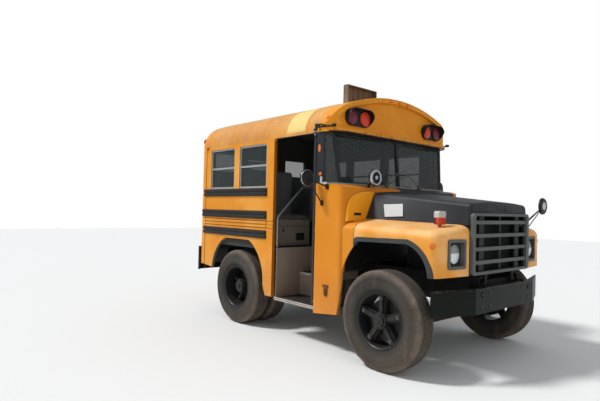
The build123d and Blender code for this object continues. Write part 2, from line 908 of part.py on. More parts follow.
def hood_block(inset, rear_x, front_x):
    with BuildPart() as block:
        loft([hood_section(rear_x, inset).faces()[0], hood_section(front_x, inset).faces()[0]])
    return block.part


# Fender sections at the rear and front, from the strip under the hood outward
fender_rear = {"outer_y": 1190, "edge_z": 1510}
fender_front = {"outer_y": 1165, "edge_z": 1470}
fender_strip = 28


def hood_at(x, key):
    # A hood size at station x, on the straight line between its two ends.
    share = (x - hood_rear_x) / (hood_front_x - hood_rear_x)
    return hood_rear[key] + share * (hood_front[key] - hood_rear[key])


def fender_at(x, key):
    share = (x - fender_rear_x) / (fender_front_x - fender_rear_x)
    return fender_rear[key] + share * (fender_front[key] - fender_rear[key])


def fender_top_z(x, y):
    # Height of the fender's top skin between the hood's base and its outer edge.
    base_y = hood_at(x, "base_y")
    base_z = hood_at(x, "base_z")
    slope = (fender_at(x, "edge_z") - base_z) / (fender_at(x, "outer_y") - base_y)
    return base_z + slope * (y - base_y)


def fender_section(x, inset, foot_z):
    base_y = hood_at(x, "base_y")
    top_z = hood_at(x, "base_z") - inset
    outer = (fender_at(x, "outer_y") - inset, fender_at(x, "edge_z") - inset)
    strip_y = base_y - fender_strip - (fender_strip if inset else 0)
    with BuildSketch(Plane.YZ.offset(x)) as section:
        with BuildLine():
            Polyline(
                (strip_y, foot_z),
                (strip_y, top_z),
                (base_y, top_z),
                outer,
                (outer[0], foot_z),
                close=True,
            )
        make_face()
        outer_corner = section.vertices().sort_by(Axis.X)[-2:].sort_by(Axis.Y)[-1]
        fillet(outer_corner, fender_corner_radius - inset)
    return section.sketch


def nose_x_at(front_x, y):
    # Station of the swept-back nose, which starts beside the grille.
    return front_x - (y - nose_start_y) * math.tan(math.radians(nose_sweep))


def fender_block(inset, rear_x, front_x, foot_z, rounding=0):
    with BuildPart() as block:
        loft([
            fender_section(rear_x, inset, foot_z).faces()[0],
            fender_section(front_x, inset, foot_z).faces()[0],
        ])
        if rounding:
            with BuildSketch(Plane.XY.offset(foot_z - fuse)):
                with BuildLine():
                    Polyline(
                        (front_x, nose_start_y),
                        (front_x + fuse, nose_start_y),
                        (front_x + fuse, half_width + wall),
                        (nose_x_at(front_x, half_width + wall), half_width + wall),
                        close=True,
                    )
                make_face()
            extrude(amount=roof_top_z - foot_z, mode=Mode.SUBTRACT)
            nose_edges = block.faces().sort_by(Axis.X)[-1].edges()
            fillet(nose_edges.group_by(Axis.Y)[-1], rounding)
    return block.part


def front_arch(reach):
    # Front wheel opening from its rear foot over the top to its front foot.
    with BuildSketch(Plane.XZ) as arch:
        with BuildLine():
            Line((895, 600), (895, 640))
            ThreePointArc((895, 640), (962, 1090), (1140, 1330))
            Line((1140, 1330), (1790, 1342))
            ThreePointArc((1790, 1342), (1968, 1228), (2046, 1000))
            Line((2046, 1000), (2046, 600))
            Line((2046, 600), (895, 600))
        make_face()
        if reach:
            offset(amount=reach)
    return arch.sketch


def arch_cutter(reach):
    return extrude(front_arch(reach), amount=2 * half_width, both=True, mode=Mode.PRIVATE)


# Cowl: side panels, bulkhead, deck, windshield surround and wheel extensions
deck_rear_x = 810
deck_edge_z = 1941
cowl_profile = [
    (door_front_x, cowl_foot_z),
    (868, cowl_foot_z + 42),
    (895, 640),
    (cowl_front_x, 880),
    (cowl_front_x, deck_edge_z),
    (deck_rear_x, windshield_sill_z),
    (door_front_x, windshield_sill_z),
]
with BuildPart() as cowl:
    with BuildSketch(Plane.XZ):
        with BuildLine():
            Polyline(*cowl_profile, close=True)
        make_face()
    extrude(amount=half_width, both=True)
    upright = cowl.edges().filter_by(Axis.Z).sort_by(Axis.X)[-2:]
    fillet(upright, cowl_corner_radius)
    add(
        box_between(
            (door_front_x - 1, -inner_y, cowl_foot_z - 1),
            (cowl_front_x - wall, inner_y, deck_front_z - 30),
        ),
        mode=Mode.SUBTRACT,
    )
    add(
        box_between(
            (door_front_x - 1, -inner_y, cowl_foot_z - 1),
            (cowl_front_x + 1, inner_y, floor_foot_z),
        ),
        mode=Mode.SUBTRACT,
    )
    add(surround_block(0, windshield_sill_z, windshield_head_z))
    add(surround_block(windshield_wall, windshield_sill_z - 100, windshield_head_z), mode=Mode.SUBTRACT)
    for quad in pane_quads():
        extrude(pane_sketch(quad, pane_margin, 10), amount=-100, mode=Mode.SUBTRACT)
    add(hood_block(0, cowl_front_x, extension_front_x))
    for side in (-1, 1):
        extension = fender_block(0, cowl_front_x - 5, fender_rear_x - fender_seam, 600)
        extension = extension - fender_block(14, cowl_front_x, fender_rear_x, 500)
        extension = extension - arch_cutter(0)
        add(extension if side > 0 else extension.mirror(Plane.XZ))
    # Hinge plates and pins of the entrance door
    for level in door_hinge_levels:
        with Locations(((door_hinge_x + door_front_x) / 2, door_hinge_y, level)):
            Box(door_front_x - door_hinge_x + 1, 2 * hinge_plate_radius, hinge_plate)
        with Locations((door_hinge_x, door_hinge_y, level)):
            Cylinder(hinge_plate_radius, hinge_plate)
        with Locations((door_hinge_x, door_hinge_y, level + hinge_knuckle / 2)):
            Cylinder(door_pin_radius, hinge_knuckle)
finish(cowl, "cowl")


# Hood shell
with BuildPart() as hood:
    add(hood_block(0, hood_rear_x, hood_front_x))
    front_rim = hood.faces().sort_by(Axis.X)[-1].edges().sort_by(Axis.Z)[-3:]
    fillet(front_rim, hood_front_radius)
    with Locations((hood_front_x, 0, hood_recess_z)):
        Box(2 * hood_recess[0], hood_recess[1], hood_recess[2], mode=Mode.SUBTRACT)
    add(hood_block(hood_wall, hood_rear_x - 10, hood_front_x - hood_wall), mode=Mode.SUBTRACT)
    with BuildSketch(Plane.YZ.offset(hood_front_x - 60)):
        with Locations((0, (grille_foot_z + grille_top_z) / 2)):
            RectangleRounded(
                2 * grille_half_width + 2 * fit,
                grille_top_z - grille_foot_z + 2 * fit,
                grille_corner + fit,
            )
    extrude(amount=100, mode=Mode.SUBTRACT)
finish(hood, "hood")


# Fenders with their wheel openings and lamp holes
bezel_lip = 14
bezel_border = 20
bezel_play = 1
bezel_wall = 10
bezel_corner = 26
pocket_floor_x = 2113
pocket_floor_wall = 12
bezel_back_x = pocket_floor_x - pocket_floor_wall
with BuildPart() as fenders:
    add(fender_block(0, fender_rear_x, fender_front_x, fender_foot_z, nose_radius))
    add(
        fender_block(
            fender_wall,
            fender_rear_x - 10,
            fender_front_x - fender_wall,
            fender_foot_z - 10,
            nose_radius - fender_wall,
        ),
        mode=Mode.SUBTRACT,
    )
    add(arch_cutter(flare_width + fit), mode=Mode.SUBTRACT)
    with BuildSketch(Plane.YZ.offset(bezel_back_x)):
        with Locations((lamp_y, lamp_z)):
            RectangleRounded(
                bezel_width - 2 * (bezel_border - bezel_play),
                bezel_height - 2 * (bezel_border - bezel_play),
                bezel_corner,
            )
    extrude(amount=fender_front_x - bezel_back_x, mode=Mode.SUBTRACT)
    mirror(about=Plane.XZ)
finish(fenders, "fenders")


# Grille: frame, four bars and three upright struts, with the lamp bezels beside it
grille_struts = (
    # middle, width
    (-400, 100),
    (0, 40),
    (400, 100),
)
strut_depth = 24
bar_depth = 28
bar_setback = 10
arm_overlap = 20
grille_mid_z = (grille_foot_z + grille_top_z) / 2
grille_height = grille_top_z - grille_foot_z
grille_rear_x = grille_front_x - grille_depth


def lamp_bezel():
    # Housing of the left headlamp: swept flange, box through the fender, straight pocket.
    sweep_angle = math.radians(nose_sweep)
    nose_plane = Plane(
        origin=(nose_x_at(fender_front_x, lamp_y), lamp_y, lamp_z),
        x_dir=(-math.sin(sweep_angle), math.cos(sweep_angle), 0),
        z_dir=(math.cos(sweep_angle), math.sin(sweep_angle), 0),
    )
    with BuildPart() as bezel:
        with BuildSketch(nose_plane.offset(fit)):
            RectangleRounded(bezel_width, bezel_height, bezel_corner)
        extrude(amount=bezel_lip)
        pocket_width = bezel_width - 2 * bezel_border
        pocket_height = bezel_height - 2 * bezel_border
        with BuildSketch(Plane.YZ.offset(bezel_back_x)):
            with Locations((lamp_y, lamp_z)):
                RectangleRounded(pocket_width, pocket_height, bezel_corner - bezel_play)
        extrude(amount=fender_front_x - bezel_back_x)
        with BuildSketch(nose_plane.offset(fit + bezel_lip)):
            Rectangle(2 * bezel_width, 2 * bezel_height)
        extrude(amount=bezel_width, mode=Mode.SUBTRACT)
        with BuildSketch(Plane.YZ.offset(pocket_floor_x)):
            with Locations((lamp_y, lamp_z)):
                RectangleRounded(
                    bezel_width - 2 * (bezel_border + bezel_wall),
                    bezel_height - 2 * (bezel_border + bezel_wall),
                    bezel_corner - bezel_wall,
                )
        extrude(amount=bezel_width, mode=Mode.SUBTRACT)
        with BuildSketch(Plane.YZ.offset(pocket_floor_x + fuse)):
            with Locations((lamp_y, lamp_z)):
                Circle(lamp_radius + fit)
        extrude(amount=-(pocket_floor_wall + 2 * fuse), mode=Mode.SUBTRACT)
    return bezel.part


with BuildPart() as grille:
    with BuildSketch(Plane.YZ.offset(grille_rear_x)):
        with Locations((0, grille_mid_z)):
            RectangleRounded(2 * grille_half_width, grille_height, grille_corner)
            RectangleRounded(
                2 * (grille_half_width - grille_side_border),
                grille_height - 2 * grille_end_border,
                grille_corner / 2,
                mode=Mode.SUBTRACT,
            )
    extrude(amount=grille_depth)
    bar_length = 2 * (grille_half_width - grille_side_border + fuse)
    for bar in range(grille_bar_count):
        bar_x = grille_front_x - bar_setback - bar_depth / 2
        with Locations((bar_x, 0, top_bar_z - bar * grille_bar_pitch)):
            Box(bar_depth, bar_length, grille_bar_height)
    strut_height = grille_height - 2 * grille_end_border + 2 * fuse
    for strut_y, strut_width in grille_struts:
        with Locations((grille_rear_x + strut_depth / 2, strut_y, grille_mid_z)):
            Box(strut_depth, strut_width, strut_height)
    # Hinge arms down to the frame's pins
    arm_head_z = grille_foot_z + arm_overlap
    for side in (-1, 1):
        arm_y = side * hinge_arm_y
        with Locations((hood_hinge_x, arm_y, (hood_hinge_z + arm_head_z) / 2)):
            Box(2 * hinge_arm_radius, hinge_arm_width, arm_head_z - hood_hinge_z)
        with Locations((hood_hinge_x, arm_y, hood_hinge_z)):
            Cylinder(hinge_arm_radius, hinge_arm_width, rotation=(90, 0, 0))
            Cylinder(
                hinge_pin_radius + pin_clearance,
                hinge_arm_width,
                rotation=(90, 0, 0),
                mode=Mode.SUBTRACT,
            )
    # Lamp housings seated in the fenders' noses
    add(lamp_bezel())
    add(lamp_bezel().mirror(Plane.XZ))
finish(grille, "grille")


# Headlamps: domed round lenses in the bezels
lamp_dome = 16
lamp_body = 22
marker_body = 14
marker_dome = 8


def lens(radius, body, dome):
    # Round lens standing on its back face, with a domed front.
    dome_radius = (radius**2 + dome**2) / (2 * dome)
    mid_rise = body + dome - dome_radius + math.sqrt(dome_radius**2 - radius**2 / 4)
    with BuildPart() as piece:
        with BuildSketch(Plane.XZ):
            with BuildLine():
                Polyline((0, body + dome), (0, 0), (radius, 0), (radius, body))
                ThreePointArc((radius, body), (radius / 2, mid_rise), (0, body + dome))
            make_face()
        revolve(axis=Axis.Z)
    return piece.part


def facing(point, direction):
    return Plane(origin=point, z_dir=direction).location


headlamp_lens = lens(lamp_radius, lamp_body, lamp_dome)
with BuildPart() as headlamps:
    for side in (-1, 1):
        add(facing((bezel_back_x, side * lamp_y, lamp_z), (1, 0, 0)) * headlamp_lens)
finish(headlamps, "headlamps")


# Flares along the moving part of the wheel openings
flare_depth = 40
with BuildPart() as fender_flares:
    add(
        fender_block(
            -flare_reach,
            fender_rear_x,
            fender_front_x + flare_reach,
            fender_foot_z,
            nose_radius + flare_reach,
        )
    )
    add(
        fender_block(
            flare_depth,
            fender_rear_x - fuse,
            fender_front_x,
            fender_foot_z - fuse,
            nose_radius - flare_depth,
        ),
        mode=Mode.SUBTRACT,
    )
    add(arch_cutter(flare_width), mode=Mode.INTERSECT)
    add(arch_cutter(0), mode=Mode.SUBTRACT)
    mirror(about=Plane.XZ)
finish(fender_flares, "fender_flares")


# Signal lamps on the fender tops and round markers on the fenders' noses
signal_x = 1982
signal_y = 880
signal_size = (58, 130, 140)
signal_lift = 20
signal_corner = 26
signal_stem_radius = 20
marker_radius = 22
nose_marker_radius = 30
nose_marker_z = 1338
nose_marker_angle = 57
with BuildPart() as fender_lamps:
    signal_foot_z = fender_top_z(signal_x, signal_y - signal_stem_radius) + pin_clearance
    with Locations((signal_x, signal_y, signal_foot_z + signal_lift + signal_size[2] / 2)):
        Box(*signal_size)
    fillet(fender_lamps.edges().filter_by(Axis.X), signal_corner)
    with Locations((signal_x, signal_y, signal_foot_z + (signal_lift + fuse) / 2)):
        Cylinder(signal_stem_radius, signal_lift + fuse)
    # The markers' backs follow the rounded nose
    nose_corner_x = nose_x_at(fender_front_x, fender_front["outer_y"])
    nose_tangent = nose_radius * math.tan(math.radians((90 - nose_sweep) / 2))
    marker_direction = (
        math.cos(math.radians(nose_marker_angle)),
        math.sin(math.radians(nose_marker_angle)),
        0,
    )
    marker_back = Vector(nose_corner_x - nose_tangent, fender_front["outer_y"] - nose_radius, nose_marker_z)
    marker_back = marker_back + Vector(*marker_direction) * (nose_radius - marker_body / 2)
    add(facing(marker_back, marker_direction) * lens(nose_marker_radius, marker_body, marker_dome))
    add(
        fender_block(
            -pin_clearance,
            fender_rear_x,
            fender_front_x + pin_clearance,
            fender_foot_z,
            nose_radius + pin_clearance,
        ),
        mode=Mode.SUBTRACT,
    )
    mirror(about=Plane.XZ)
finish(fender_lamps, "fender_lamps")


# Round mirror on a tripod over the left fender
def rod(start, end, radius):
    # Straight round bar between two points, for use inside a part.
    start = Vector(*start)
    end = Vector(*end)
    with BuildSketch(Plane(origin=start, z_dir=end - start)) as bar:
        Circle(radius)
    return extrude(bar.sketch, amount=(end - start).length, mode=Mode.PRIVATE)


tripod_centre = (2140, 1205, 1780)
tripod_radius = 106
tripod_depth = 30
tripod_feet = ((1985, 930), (1935, 1070), (2020, 1050))
tripod_rod = 6
foot_radius = 10
foot_height = 14
with BuildPart() as fender_mirror:
    with Locations(tripod_centre):
        Cylinder(tripod_radius, tripod_depth, rotation=(0, 90, 0))
    fillet(fender_mirror.edges().sort_by(Axis.X)[-1:], 20)
    for foot_x, foot_y in tripod_feet:
        foot_z = fender_top_z(foot_x, foot_y - foot_radius) + pin_clearance
        with Locations((foot_x, foot_y, foot_z + foot_height / 2)):
            Cylinder(foot_radius, foot_height)
        foot_point = (foot_x, foot_y, foot_z + foot_height / 2)
        add(rod(foot_point, (tripod_centre[0] + 6, tripod_centre[1], tripod_centre[2]), tripod_rod))
finish(fender_mirror, "fender_mirror")


# Round mirrors beside the cowl, on two arms each
side_mirror_centre = (500, 1380, 2040)
side_mirror_radius = 100
side_mirror_depth = 36
side_arm_radius = 8
side_pads = ((681, 1940), (595, 1749))
pad_size = (44, 12, 60)
with BuildPart() as side_mirrors:
    with Locations(side_mirror_centre):
        Cylinder(side_mirror_radius, side_mirror_depth, rotation=(0, 90, 0))
    fillet(side_mirrors.edges().sort_by(Axis.X)[-1:], 22)
    for pad_x, pad_z in side_pads:
        pad_y = half_width + pin_clearance + pad_size[1] / 2
        with Locations((pad_x, pad_y, pad_z)):
            Box(*pad_size)
        add(rod((pad_x, pad_y + 3, pad_z), side_mirror_centre, side_arm_radius))
    mirror(about=Plane.XZ)
finish(side_mirrors, "side_mirrors")


# Round mirror on a post at the right of the cowl deck
deck_mirror_centre = (985, -720, 2063)
deck_mirror_radius = 103
deck_post_x = 885
foot_half = 18


def deck_z_at(x):
    # Height of the cowl's sloping deck.
    fall = (windshield_sill_z - deck_edge_z) / (cowl_front_x - deck_rear_x)
    return deck_edge_z + fall * (cowl_front_x - x)


with BuildPart() as deck_mirror:
    foot_z = deck_z_at(deck_post_x - foot_half) + pin_clearance
    with Locations(deck_mirror_centre):
        Cylinder(deck_mirror_radius, 34, rotation=(0, 90, 0))
    fillet(deck_mirror.edges().sort_by(Axis.X)[-1:], 22)
    post_head = (deck_mirror_centre[0] - 8, deck_mirror_centre[1], deck_mirror_centre[2] - 30)
    add(rod((deck_post_x, -720, foot_z + 20), post_head, 8))
    with Locations((deck_post_x, -720, foot_z + 15)):
        Cylinder(foot_half, 30)
finish(deck_mirror, "deck_mirror")


# Entrance door: two leaves folded against each other
door_fold_x = door_hinge_x - leaf_thickness / 2 - leaf_gap / 2
door_fold_y = door_hinge_y + leaf_length
leaf_border = 50
leaf_lights = ((700, 1330), (1500, 2440))
fold_levels = (600, 1450, 2480)
notch_depth = 30
notch_margin = 5
glass_thickness = 6
light_corner = 24


def leaf_panel(mid_x, knuckle_end):
    # One door leaf between its two pivot lines, with its two lights.
    low_y = door_hinge_y + leaf_end_clearance
    high_y = door_fold_y - leaf_end_clearance
    with BuildPart() as leaf:
        with BuildSketch(Plane.YZ.offset(mid_x - leaf_thickness / 2)):
            with Locations(((low_y + high_y) / 2, (leaf_foot_z + leaf_head_z) / 2)):
                Rectangle(high_y - low_y, leaf_head_z - leaf_foot_z)
            for light_foot, light_head in leaf_lights:
                with Locations(((low_y + high_y) / 2, (light_foot + light_head) / 2)):
                    RectangleRounded(
                        high_y - low_y - 2 * leaf_border,
                        light_head - light_foot,
                        light_corner,
                        mode=Mode.SUBTRACT,
                    )
        extrude(amount=leaf_thickness)
        for level in fold_levels:
            notch_z = level + knuckle_end
            with Locations((mid_x, high_y, notch_z)):
                Box(
                    leaf_thickness + 2,
                    2 * notch_depth,
                    fold_knuckle + 2 * notch_margin,
                    mode=Mode.SUBTRACT,
                )
    return leaf.part


fold_knuckle = 30
fold_radius = 11
fold_pin_radius = 5
fold_gap = 0.3
front_leaf_x = door_hinge_x
rear_leaf_x = door_hinge_x - leaf_thickness - leaf_gap
fold_step = (fold_knuckle + fold_gap) / 2
with BuildPart() as door_front_leaf:
    add(leaf_panel(front_leaf_x, fold_step))
    for level in fold_levels:
        knuckle_z = level - fold_step
        with Locations((door_fold_x, door_fold_y, knuckle_z)):
            Cylinder(fold_radius, fold_knuckle)
        with Locations((door_fold_x + 12, door_fold_y - 4, knuckle_z)):
            Box(24, 14, fold_knuckle)
        with Locations((door_fold_x, door_fold_y, level)):
            Cylinder(fold_pin_radius, 2 * fold_knuckle)
    for level in door_hinge_levels:
        plate_top = level + hinge_plate / 2
        leaf_edge_y = door_hinge_y + leaf_end_clearance
        with Locations((front_leaf_x, leaf_edge_y, level)):
            Box(
                leaf_thickness + 2,
                2 * notch_depth,
                hinge_plate + 2 * notch_margin,
                mode=Mode.SUBTRACT,
            )
        knuckle_low = plate_top + notch_margin
        knuckle_mid = knuckle_low + hinge_knuckle / 4
        with Locations((door_hinge_x, door_hinge_y, knuckle_mid)):
            Cylinder(fold_radius, hinge_knuckle / 2)
        with Locations((door_hinge_x, door_hinge_y + 6, knuckle_mid)):
            Box(2 * fold_radius, 12, hinge_knuckle / 2)
        with Locations((door_hinge_x, door_hinge_y, knuckle_mid)):
            Cylinder(
                door_pin_radius + pin_clearance,
                hinge_knuckle,
                mode=Mode.SUBTRACT,
            )
finish(door_front_leaf, "door_front_leaf")

with BuildPart() as door_rear_leaf:
    add(leaf_panel(rear_leaf_x, -fold_step))
    for level in fold_levels:
        knuckle_z = level + fold_step
        with Locations((door_fold_x, door_fold_y, knuckle_z)):
            Cylinder(fold_radius, fold_knuckle)
        with Locations((door_fold_x - 12, door_fold_y - 4, knuckle_z)):
            Box(24, 14, fold_knuckle)
        with Locations((door_fold_x, door_fold_y, level)):
            Cylinder(fold_pin_radius + pin_clearance, 3 * fold_knuckle, mode=Mode.SUBTRACT)
finish(door_rear_leaf, "door_rear_leaf")


def leaf_glass(mid_x):
    low_y = door_hinge_y + leaf_end_clearance
    high_y = door_fold_y - leaf_end_clearance
    with BuildPart() as panes:
        with BuildSketch(Plane.YZ.offset(mid_x - glass_thickness / 2)):
            for light_foot, light_head in leaf_lights:
                with Locations(((low_y + high_y) / 2, (light_foot + light_head) / 2)):
                    RectangleRounded(
                        high_y - low_y - 2 * leaf_border - 2 * pin_clearance,
                        light_head - light_foot - 2 * pin_clearance,
                        light_corner,
                    )
        extrude(amount=glass_thickness)
    return panes


finish(leaf_glass(front_leaf_x), "door_front_glass")
finish(leaf_glass(rear_leaf_x), "door_rear_glass")


# Emergency door in the rear wall, with its glass
rear_door_thickness = 40
rear_lights = ((1300, 1800), (1951, 2440))
rear_light_half = 255
rear_hinge_x = body_rear_x - 10
rear_hinge_y = -(rear_door_half_width + 6)
rear_hinge_levels = (1320, 1860, 2360)
rear_knuckle = 50
rear_knuckle_radius = 8
rear_pin_radius = 4
strap_thickness = 8
strap_length = 90
strap_gap = 0.3
with BuildPart() as rear_door:
    with BuildSketch(Plane.YZ.offset(body_rear_x)):
        with Locations((0, (rear_door_foot_z + rear_door_head_z) / 2)):
            Rectangle(2 * rear_door_half_width, rear_door_head_z - rear_door_foot_z)
        for light_foot, light_head in rear_lights:
            with Locations((0, (light_foot + light_head) / 2)):
                RectangleRounded(
                    2 * rear_light_half, light_head - light_foot, light_corner, mode=Mode.SUBTRACT
                )
    extrude(amount=rear_door_thickness)
    for level in rear_hinge_levels:
        knuckle_z = level + (rear_knuckle + strap_gap) / 2
        strap_mid_x = body_rear_x - strap_thickness / 2
        with Locations((rear_hinge_x, rear_hinge_y, knuckle_z)):
            Cylinder(rear_knuckle_radius, rear_knuckle)
        with Locations((strap_mid_x - 1, rear_hinge_y + strap_length / 2, knuckle_z)):
            Box(strap_thickness - 2, strap_length, rear_knuckle)
        with Locations((strap_mid_x, rear_hinge_y + strap_length / 2 + 6, knuckle_z)):
            Box(strap_thickness, strap_length - 12, rear_knuckle)
        with Locations((rear_hinge_x, rear_hinge_y, knuckle_z)):
            Cylinder(rear_pin_radius + pin_clearance, 2 * rear_knuckle, mode=Mode.SUBTRACT)
    with Locations((body_rear_x - 14, rear_door_half_width - 60, 1560)):
        Box(28, 90, 24)
finish(rear_door, "rear_door")

with BuildPart() as rear_door_glass:
    with BuildSketch(Plane.YZ.offset(body_rear_x + rear_door_thickness / 2)):
        for light_foot, light_head in rear_lights:
            with Locations((0, (light_foot + light_head) / 2)):
                RectangleRounded(
                    2 * (rear_light_half - pin_clearance),
                    light_head - light_foot - 2 * pin_clearance,
                    light_corner,
                )
    extrude(amount=glass_thickness)
finish(rear_door_glass, "rear_door_glass")

with BuildPart() as rear_hinges:
    for level in rear_hinge_levels:
        knuckle_z = level - (rear_knuckle + strap_gap) / 2
        strap_mid_x = body_rear_x - pin_clearance - strap_thickness / 2
        with Locations((rear_hinge_x, rear_hinge_y, knuckle_z)):
            Cylinder(rear_knuckle_radius, rear_knuckle)
        with Locations((strap_mid_x, rear_hinge_y - strap_length / 2, knuckle_z)):
            Box(strap_thickness, strap_length, rear_knuckle)
        with Locations((rear_hinge_x, rear_hinge_y, level)):
            Cylinder(rear_pin_radius, 2 * rear_knuckle)
finish(rear_hinges, "rear_hinges")


# Window sashes in the side walls
sash_border = 24
sash_depth = 26
sash_bar_z = 2258
sash_bar = 26
sash_inset = 9


def sash_sketch(window_x):
    with BuildSketch(Plane.XZ) as sash:
        with Locations((window_x, window_mid_z)):
            RectangleRounded(
                window_width - 2 * pin_clearance,
                window_height - 2 * pin_clearance,
                window_corner,
            )
            RectangleRounded(
                window_width - 2 * sash_border,
                window_height - 2 * sash_border,
                window_corner / 2,
                mode=Mode.SUBTRACT,
            )
        with Locations((window_x, sash_bar_z)):
            Rectangle(window_width - 2 * sash_border + 4, sash_bar)
    return sash.sketch


window_rows = [(-1, x) for x in right_windows] + [(1, x) for x in left_windows]
with BuildPart() as window_sashes:
    for side, window_x in window_rows:
        sash_y = side * (half_width - sash_inset - sash_depth / 2)
        extrude(Pos(0, sash_y + sash_depth / 2, 0) * sash_sketch(window_x), amount=sash_depth)
finish(window_sashes, "window_sashes")


# Glass of the side, rear and windshield windows
pane_levels = (
    # foot and head of the lower and upper pane in every sash
    (window_sill_z + sash_border, sash_bar_z - sash_bar / 2),
    (sash_bar_z + sash_bar / 2, window_head_z - sash_border),
)
pane_width = window_width - 2 * sash_border - 2 * pin_clearance
windshield_glass_lift = -16
with BuildPart() as window_glass:
    for side, window_x in window_rows:
        pane_y = side * (half_width - sash_inset - sash_depth / 2)
        for pane_foot, pane_head in pane_levels:
            with Locations((window_x, pane_y, (pane_foot + pane_head) / 2)):
                Box(pane_width, glass_thickness, pane_head - pane_foot - 2 * pin_clearance)
    edges = window_glass.edges().filter_by(Axis.Y)
    fillet(edges, window_corner / 2)
    with BuildSketch(Plane.YZ.offset(body_rear_x + wall / 2)):
        with Locations((-rear_glass_y, window_mid_z), (rear_glass_y, window_mid_z)):
            RectangleRounded(
                rear_glass_width - 2 * pin_clearance,
                window_height - 2 * pin_clearance,
                window_corner,
            )
    extrude(amount=glass_thickness)
    for quad in pane_quads():
        pane = pane_sketch(quad, pane_margin + pin_clearance, windshield_glass_lift)
        extrude(pane, amount=-glass_thickness)
finish(window_glass, "window_glass")


# Warning lamps in pairs, each pair in a black surround with one eyelid hood
pair_rows = (
    # face, facing forward or back, middle of the pair, height, hood length
    (lamp_panel_x, 1, 776, 2803, 96),
    (body_rear_x, -1, 740, 2770, 70),
)
pair_spacing = 241
warning_radius = 89
warning_body = 18
warning_dome = 14
surround_radius = 104
surround_wall = 5
surround_plate = 8
surround_lip = 14


def eyelid(length):
    # Plate round two lamps with a rim that runs out from the foot to the crown.
    slot_height = 2 * surround_radius
    with BuildPart() as visor:
        with BuildSketch():
            SlotCenterToCenter(pair_spacing, slot_height)
        extrude(amount=surround_plate)
        with BuildSketch():
            SlotCenterToCenter(pair_spacing, slot_height)
            SlotCenterToCenter(pair_spacing, slot_height - 2 * surround_wall, mode=Mode.SUBTRACT)
        extrude(amount=length)
        with BuildSketch(Plane.YZ):
            with BuildLine():
                Polyline(
                    (-surround_radius - fuse, surround_lip),
                    (surround_radius / 3, length),
                    (surround_radius / 3, length + fuse),
                    (-surround_radius - fuse, length + fuse),
                    close=True,
                )
            make_face()
        extrude(amount=pair_spacing, both=True, mode=Mode.SUBTRACT)
    return visor.part


warning_rows = []
with BuildPart() as lamp_hoods:
    for face_x, turn, pair_y, pair_z, hood_length in pair_rows:
        lens_x = face_x + turn * (surround_plate + pin_clearance)
        for side in (-1, 1):
            seat = Plane(
                origin=(face_x + turn * pin_clearance, side * pair_y, pair_z),
                x_dir=(0, turn, 0),
                z_dir=(turn, 0, 0),
            )
            add(seat.location * eyelid(hood_length))
            for step in (-0.5, 0.5):
                place = (lens_x, side * pair_y + step * pair_spacing, pair_z)
                warning_rows.append((place, (turn, 0, 0), warning_radius, warning_body, warning_dome))
finish(lamp_hoods, "lamp_hoods")


# Warning, marker, tail and clearance lamps
red_lamp_rows = (
    # place, direction, radius, body, dome
    ((body_rear_x, -1020, 1300), (-1, 0, 0), 88, 16, 12),
    ((body_rear_x, 1020, 1300), (-1, 0, 0), 88, 16, 12),
    ((body_rear_x, -180, 3060), (-1, 0, 0), marker_radius, 14, 8),
    ((body_rear_x, 0, 3060), (-1, 0, 0), marker_radius, 14, 8),
    ((body_rear_x, 180, 3060), (-1, 0, 0), marker_radius, 14, 8),
    ((-2040, -half_width, 2590), (0, -1, 0), marker_radius, 12, 8),
    ((-2040, half_width, 2590), (0, 1, 0), marker_radius, 12, 8),
)
amber_lamp_rows = (
    ((body_rear_x, -1020, 1560), (-1, 0, 0), 60, 16, 10),
    ((body_rear_x, 1020, 1560), (-1, 0, 0), 60, 16, 10),
    ((cap_front_x, -180, 3098), (1, 0, 0), marker_radius, 14, 8),
    ((cap_front_x, 0, 3100), (1, 0, 0), marker_radius, 14, 8),
    ((cap_front_x, 180, 3098), (1, 0, 0), marker_radius, 14, 8),
    ((560, -half_width, 2096), (0, -1, 0), marker_radius, 12, 8),
    ((560, half_width, 2096), (0, 1, 0), marker_radius, 12, 8),
)


def lamp_set(rows):
    with BuildPart() as lamps:
        for place, direction, radius, body, dome in rows:
            seat = Vector(*place) + Vector(*direction) * pin_clearance
            add(facing(seat, direction) * lens(radius, body, dome))
    return lamps


finish(lamp_set([*red_lamp_rows, *warning_rows]), "red_lamps")
finish(lamp_set(amber_lamp_rows), "amber_lamps")


# Wooden box on the roof, open at its front
roof_box_front_x = 205
roof_box_rear_x = -145
roof_box_half_y = 300
roof_box_mid_y = -100
roof_box_top_z = 3390
roof_box_wall = 22
roof_box_floor_z = 3142
with BuildPart() as roof_box:
    low_y = roof_box_mid_y - roof_box_half_y
    high_y = roof_box_mid_y + roof_box_half_y
    add(box_between((roof_box_rear_x, low_y, 3080), (roof_box_front_x, high_y, roof_box_top_z)))
    add(
        box_between(
            (roof_box_rear_x + roof_box_wall, low_y + roof_box_wall, roof_box_floor_z + roof_box_wall),
            (roof_box_front_x + 1, high_y - roof_box_wall, roof_box_top_z - roof_box_wall),
        ),
        mode=Mode.SUBTRACT,
    )
    add(body_block(-pin_clearance, eave_z - 10), mode=Mode.SUBTRACT)
finish(roof_box, "roof_box")


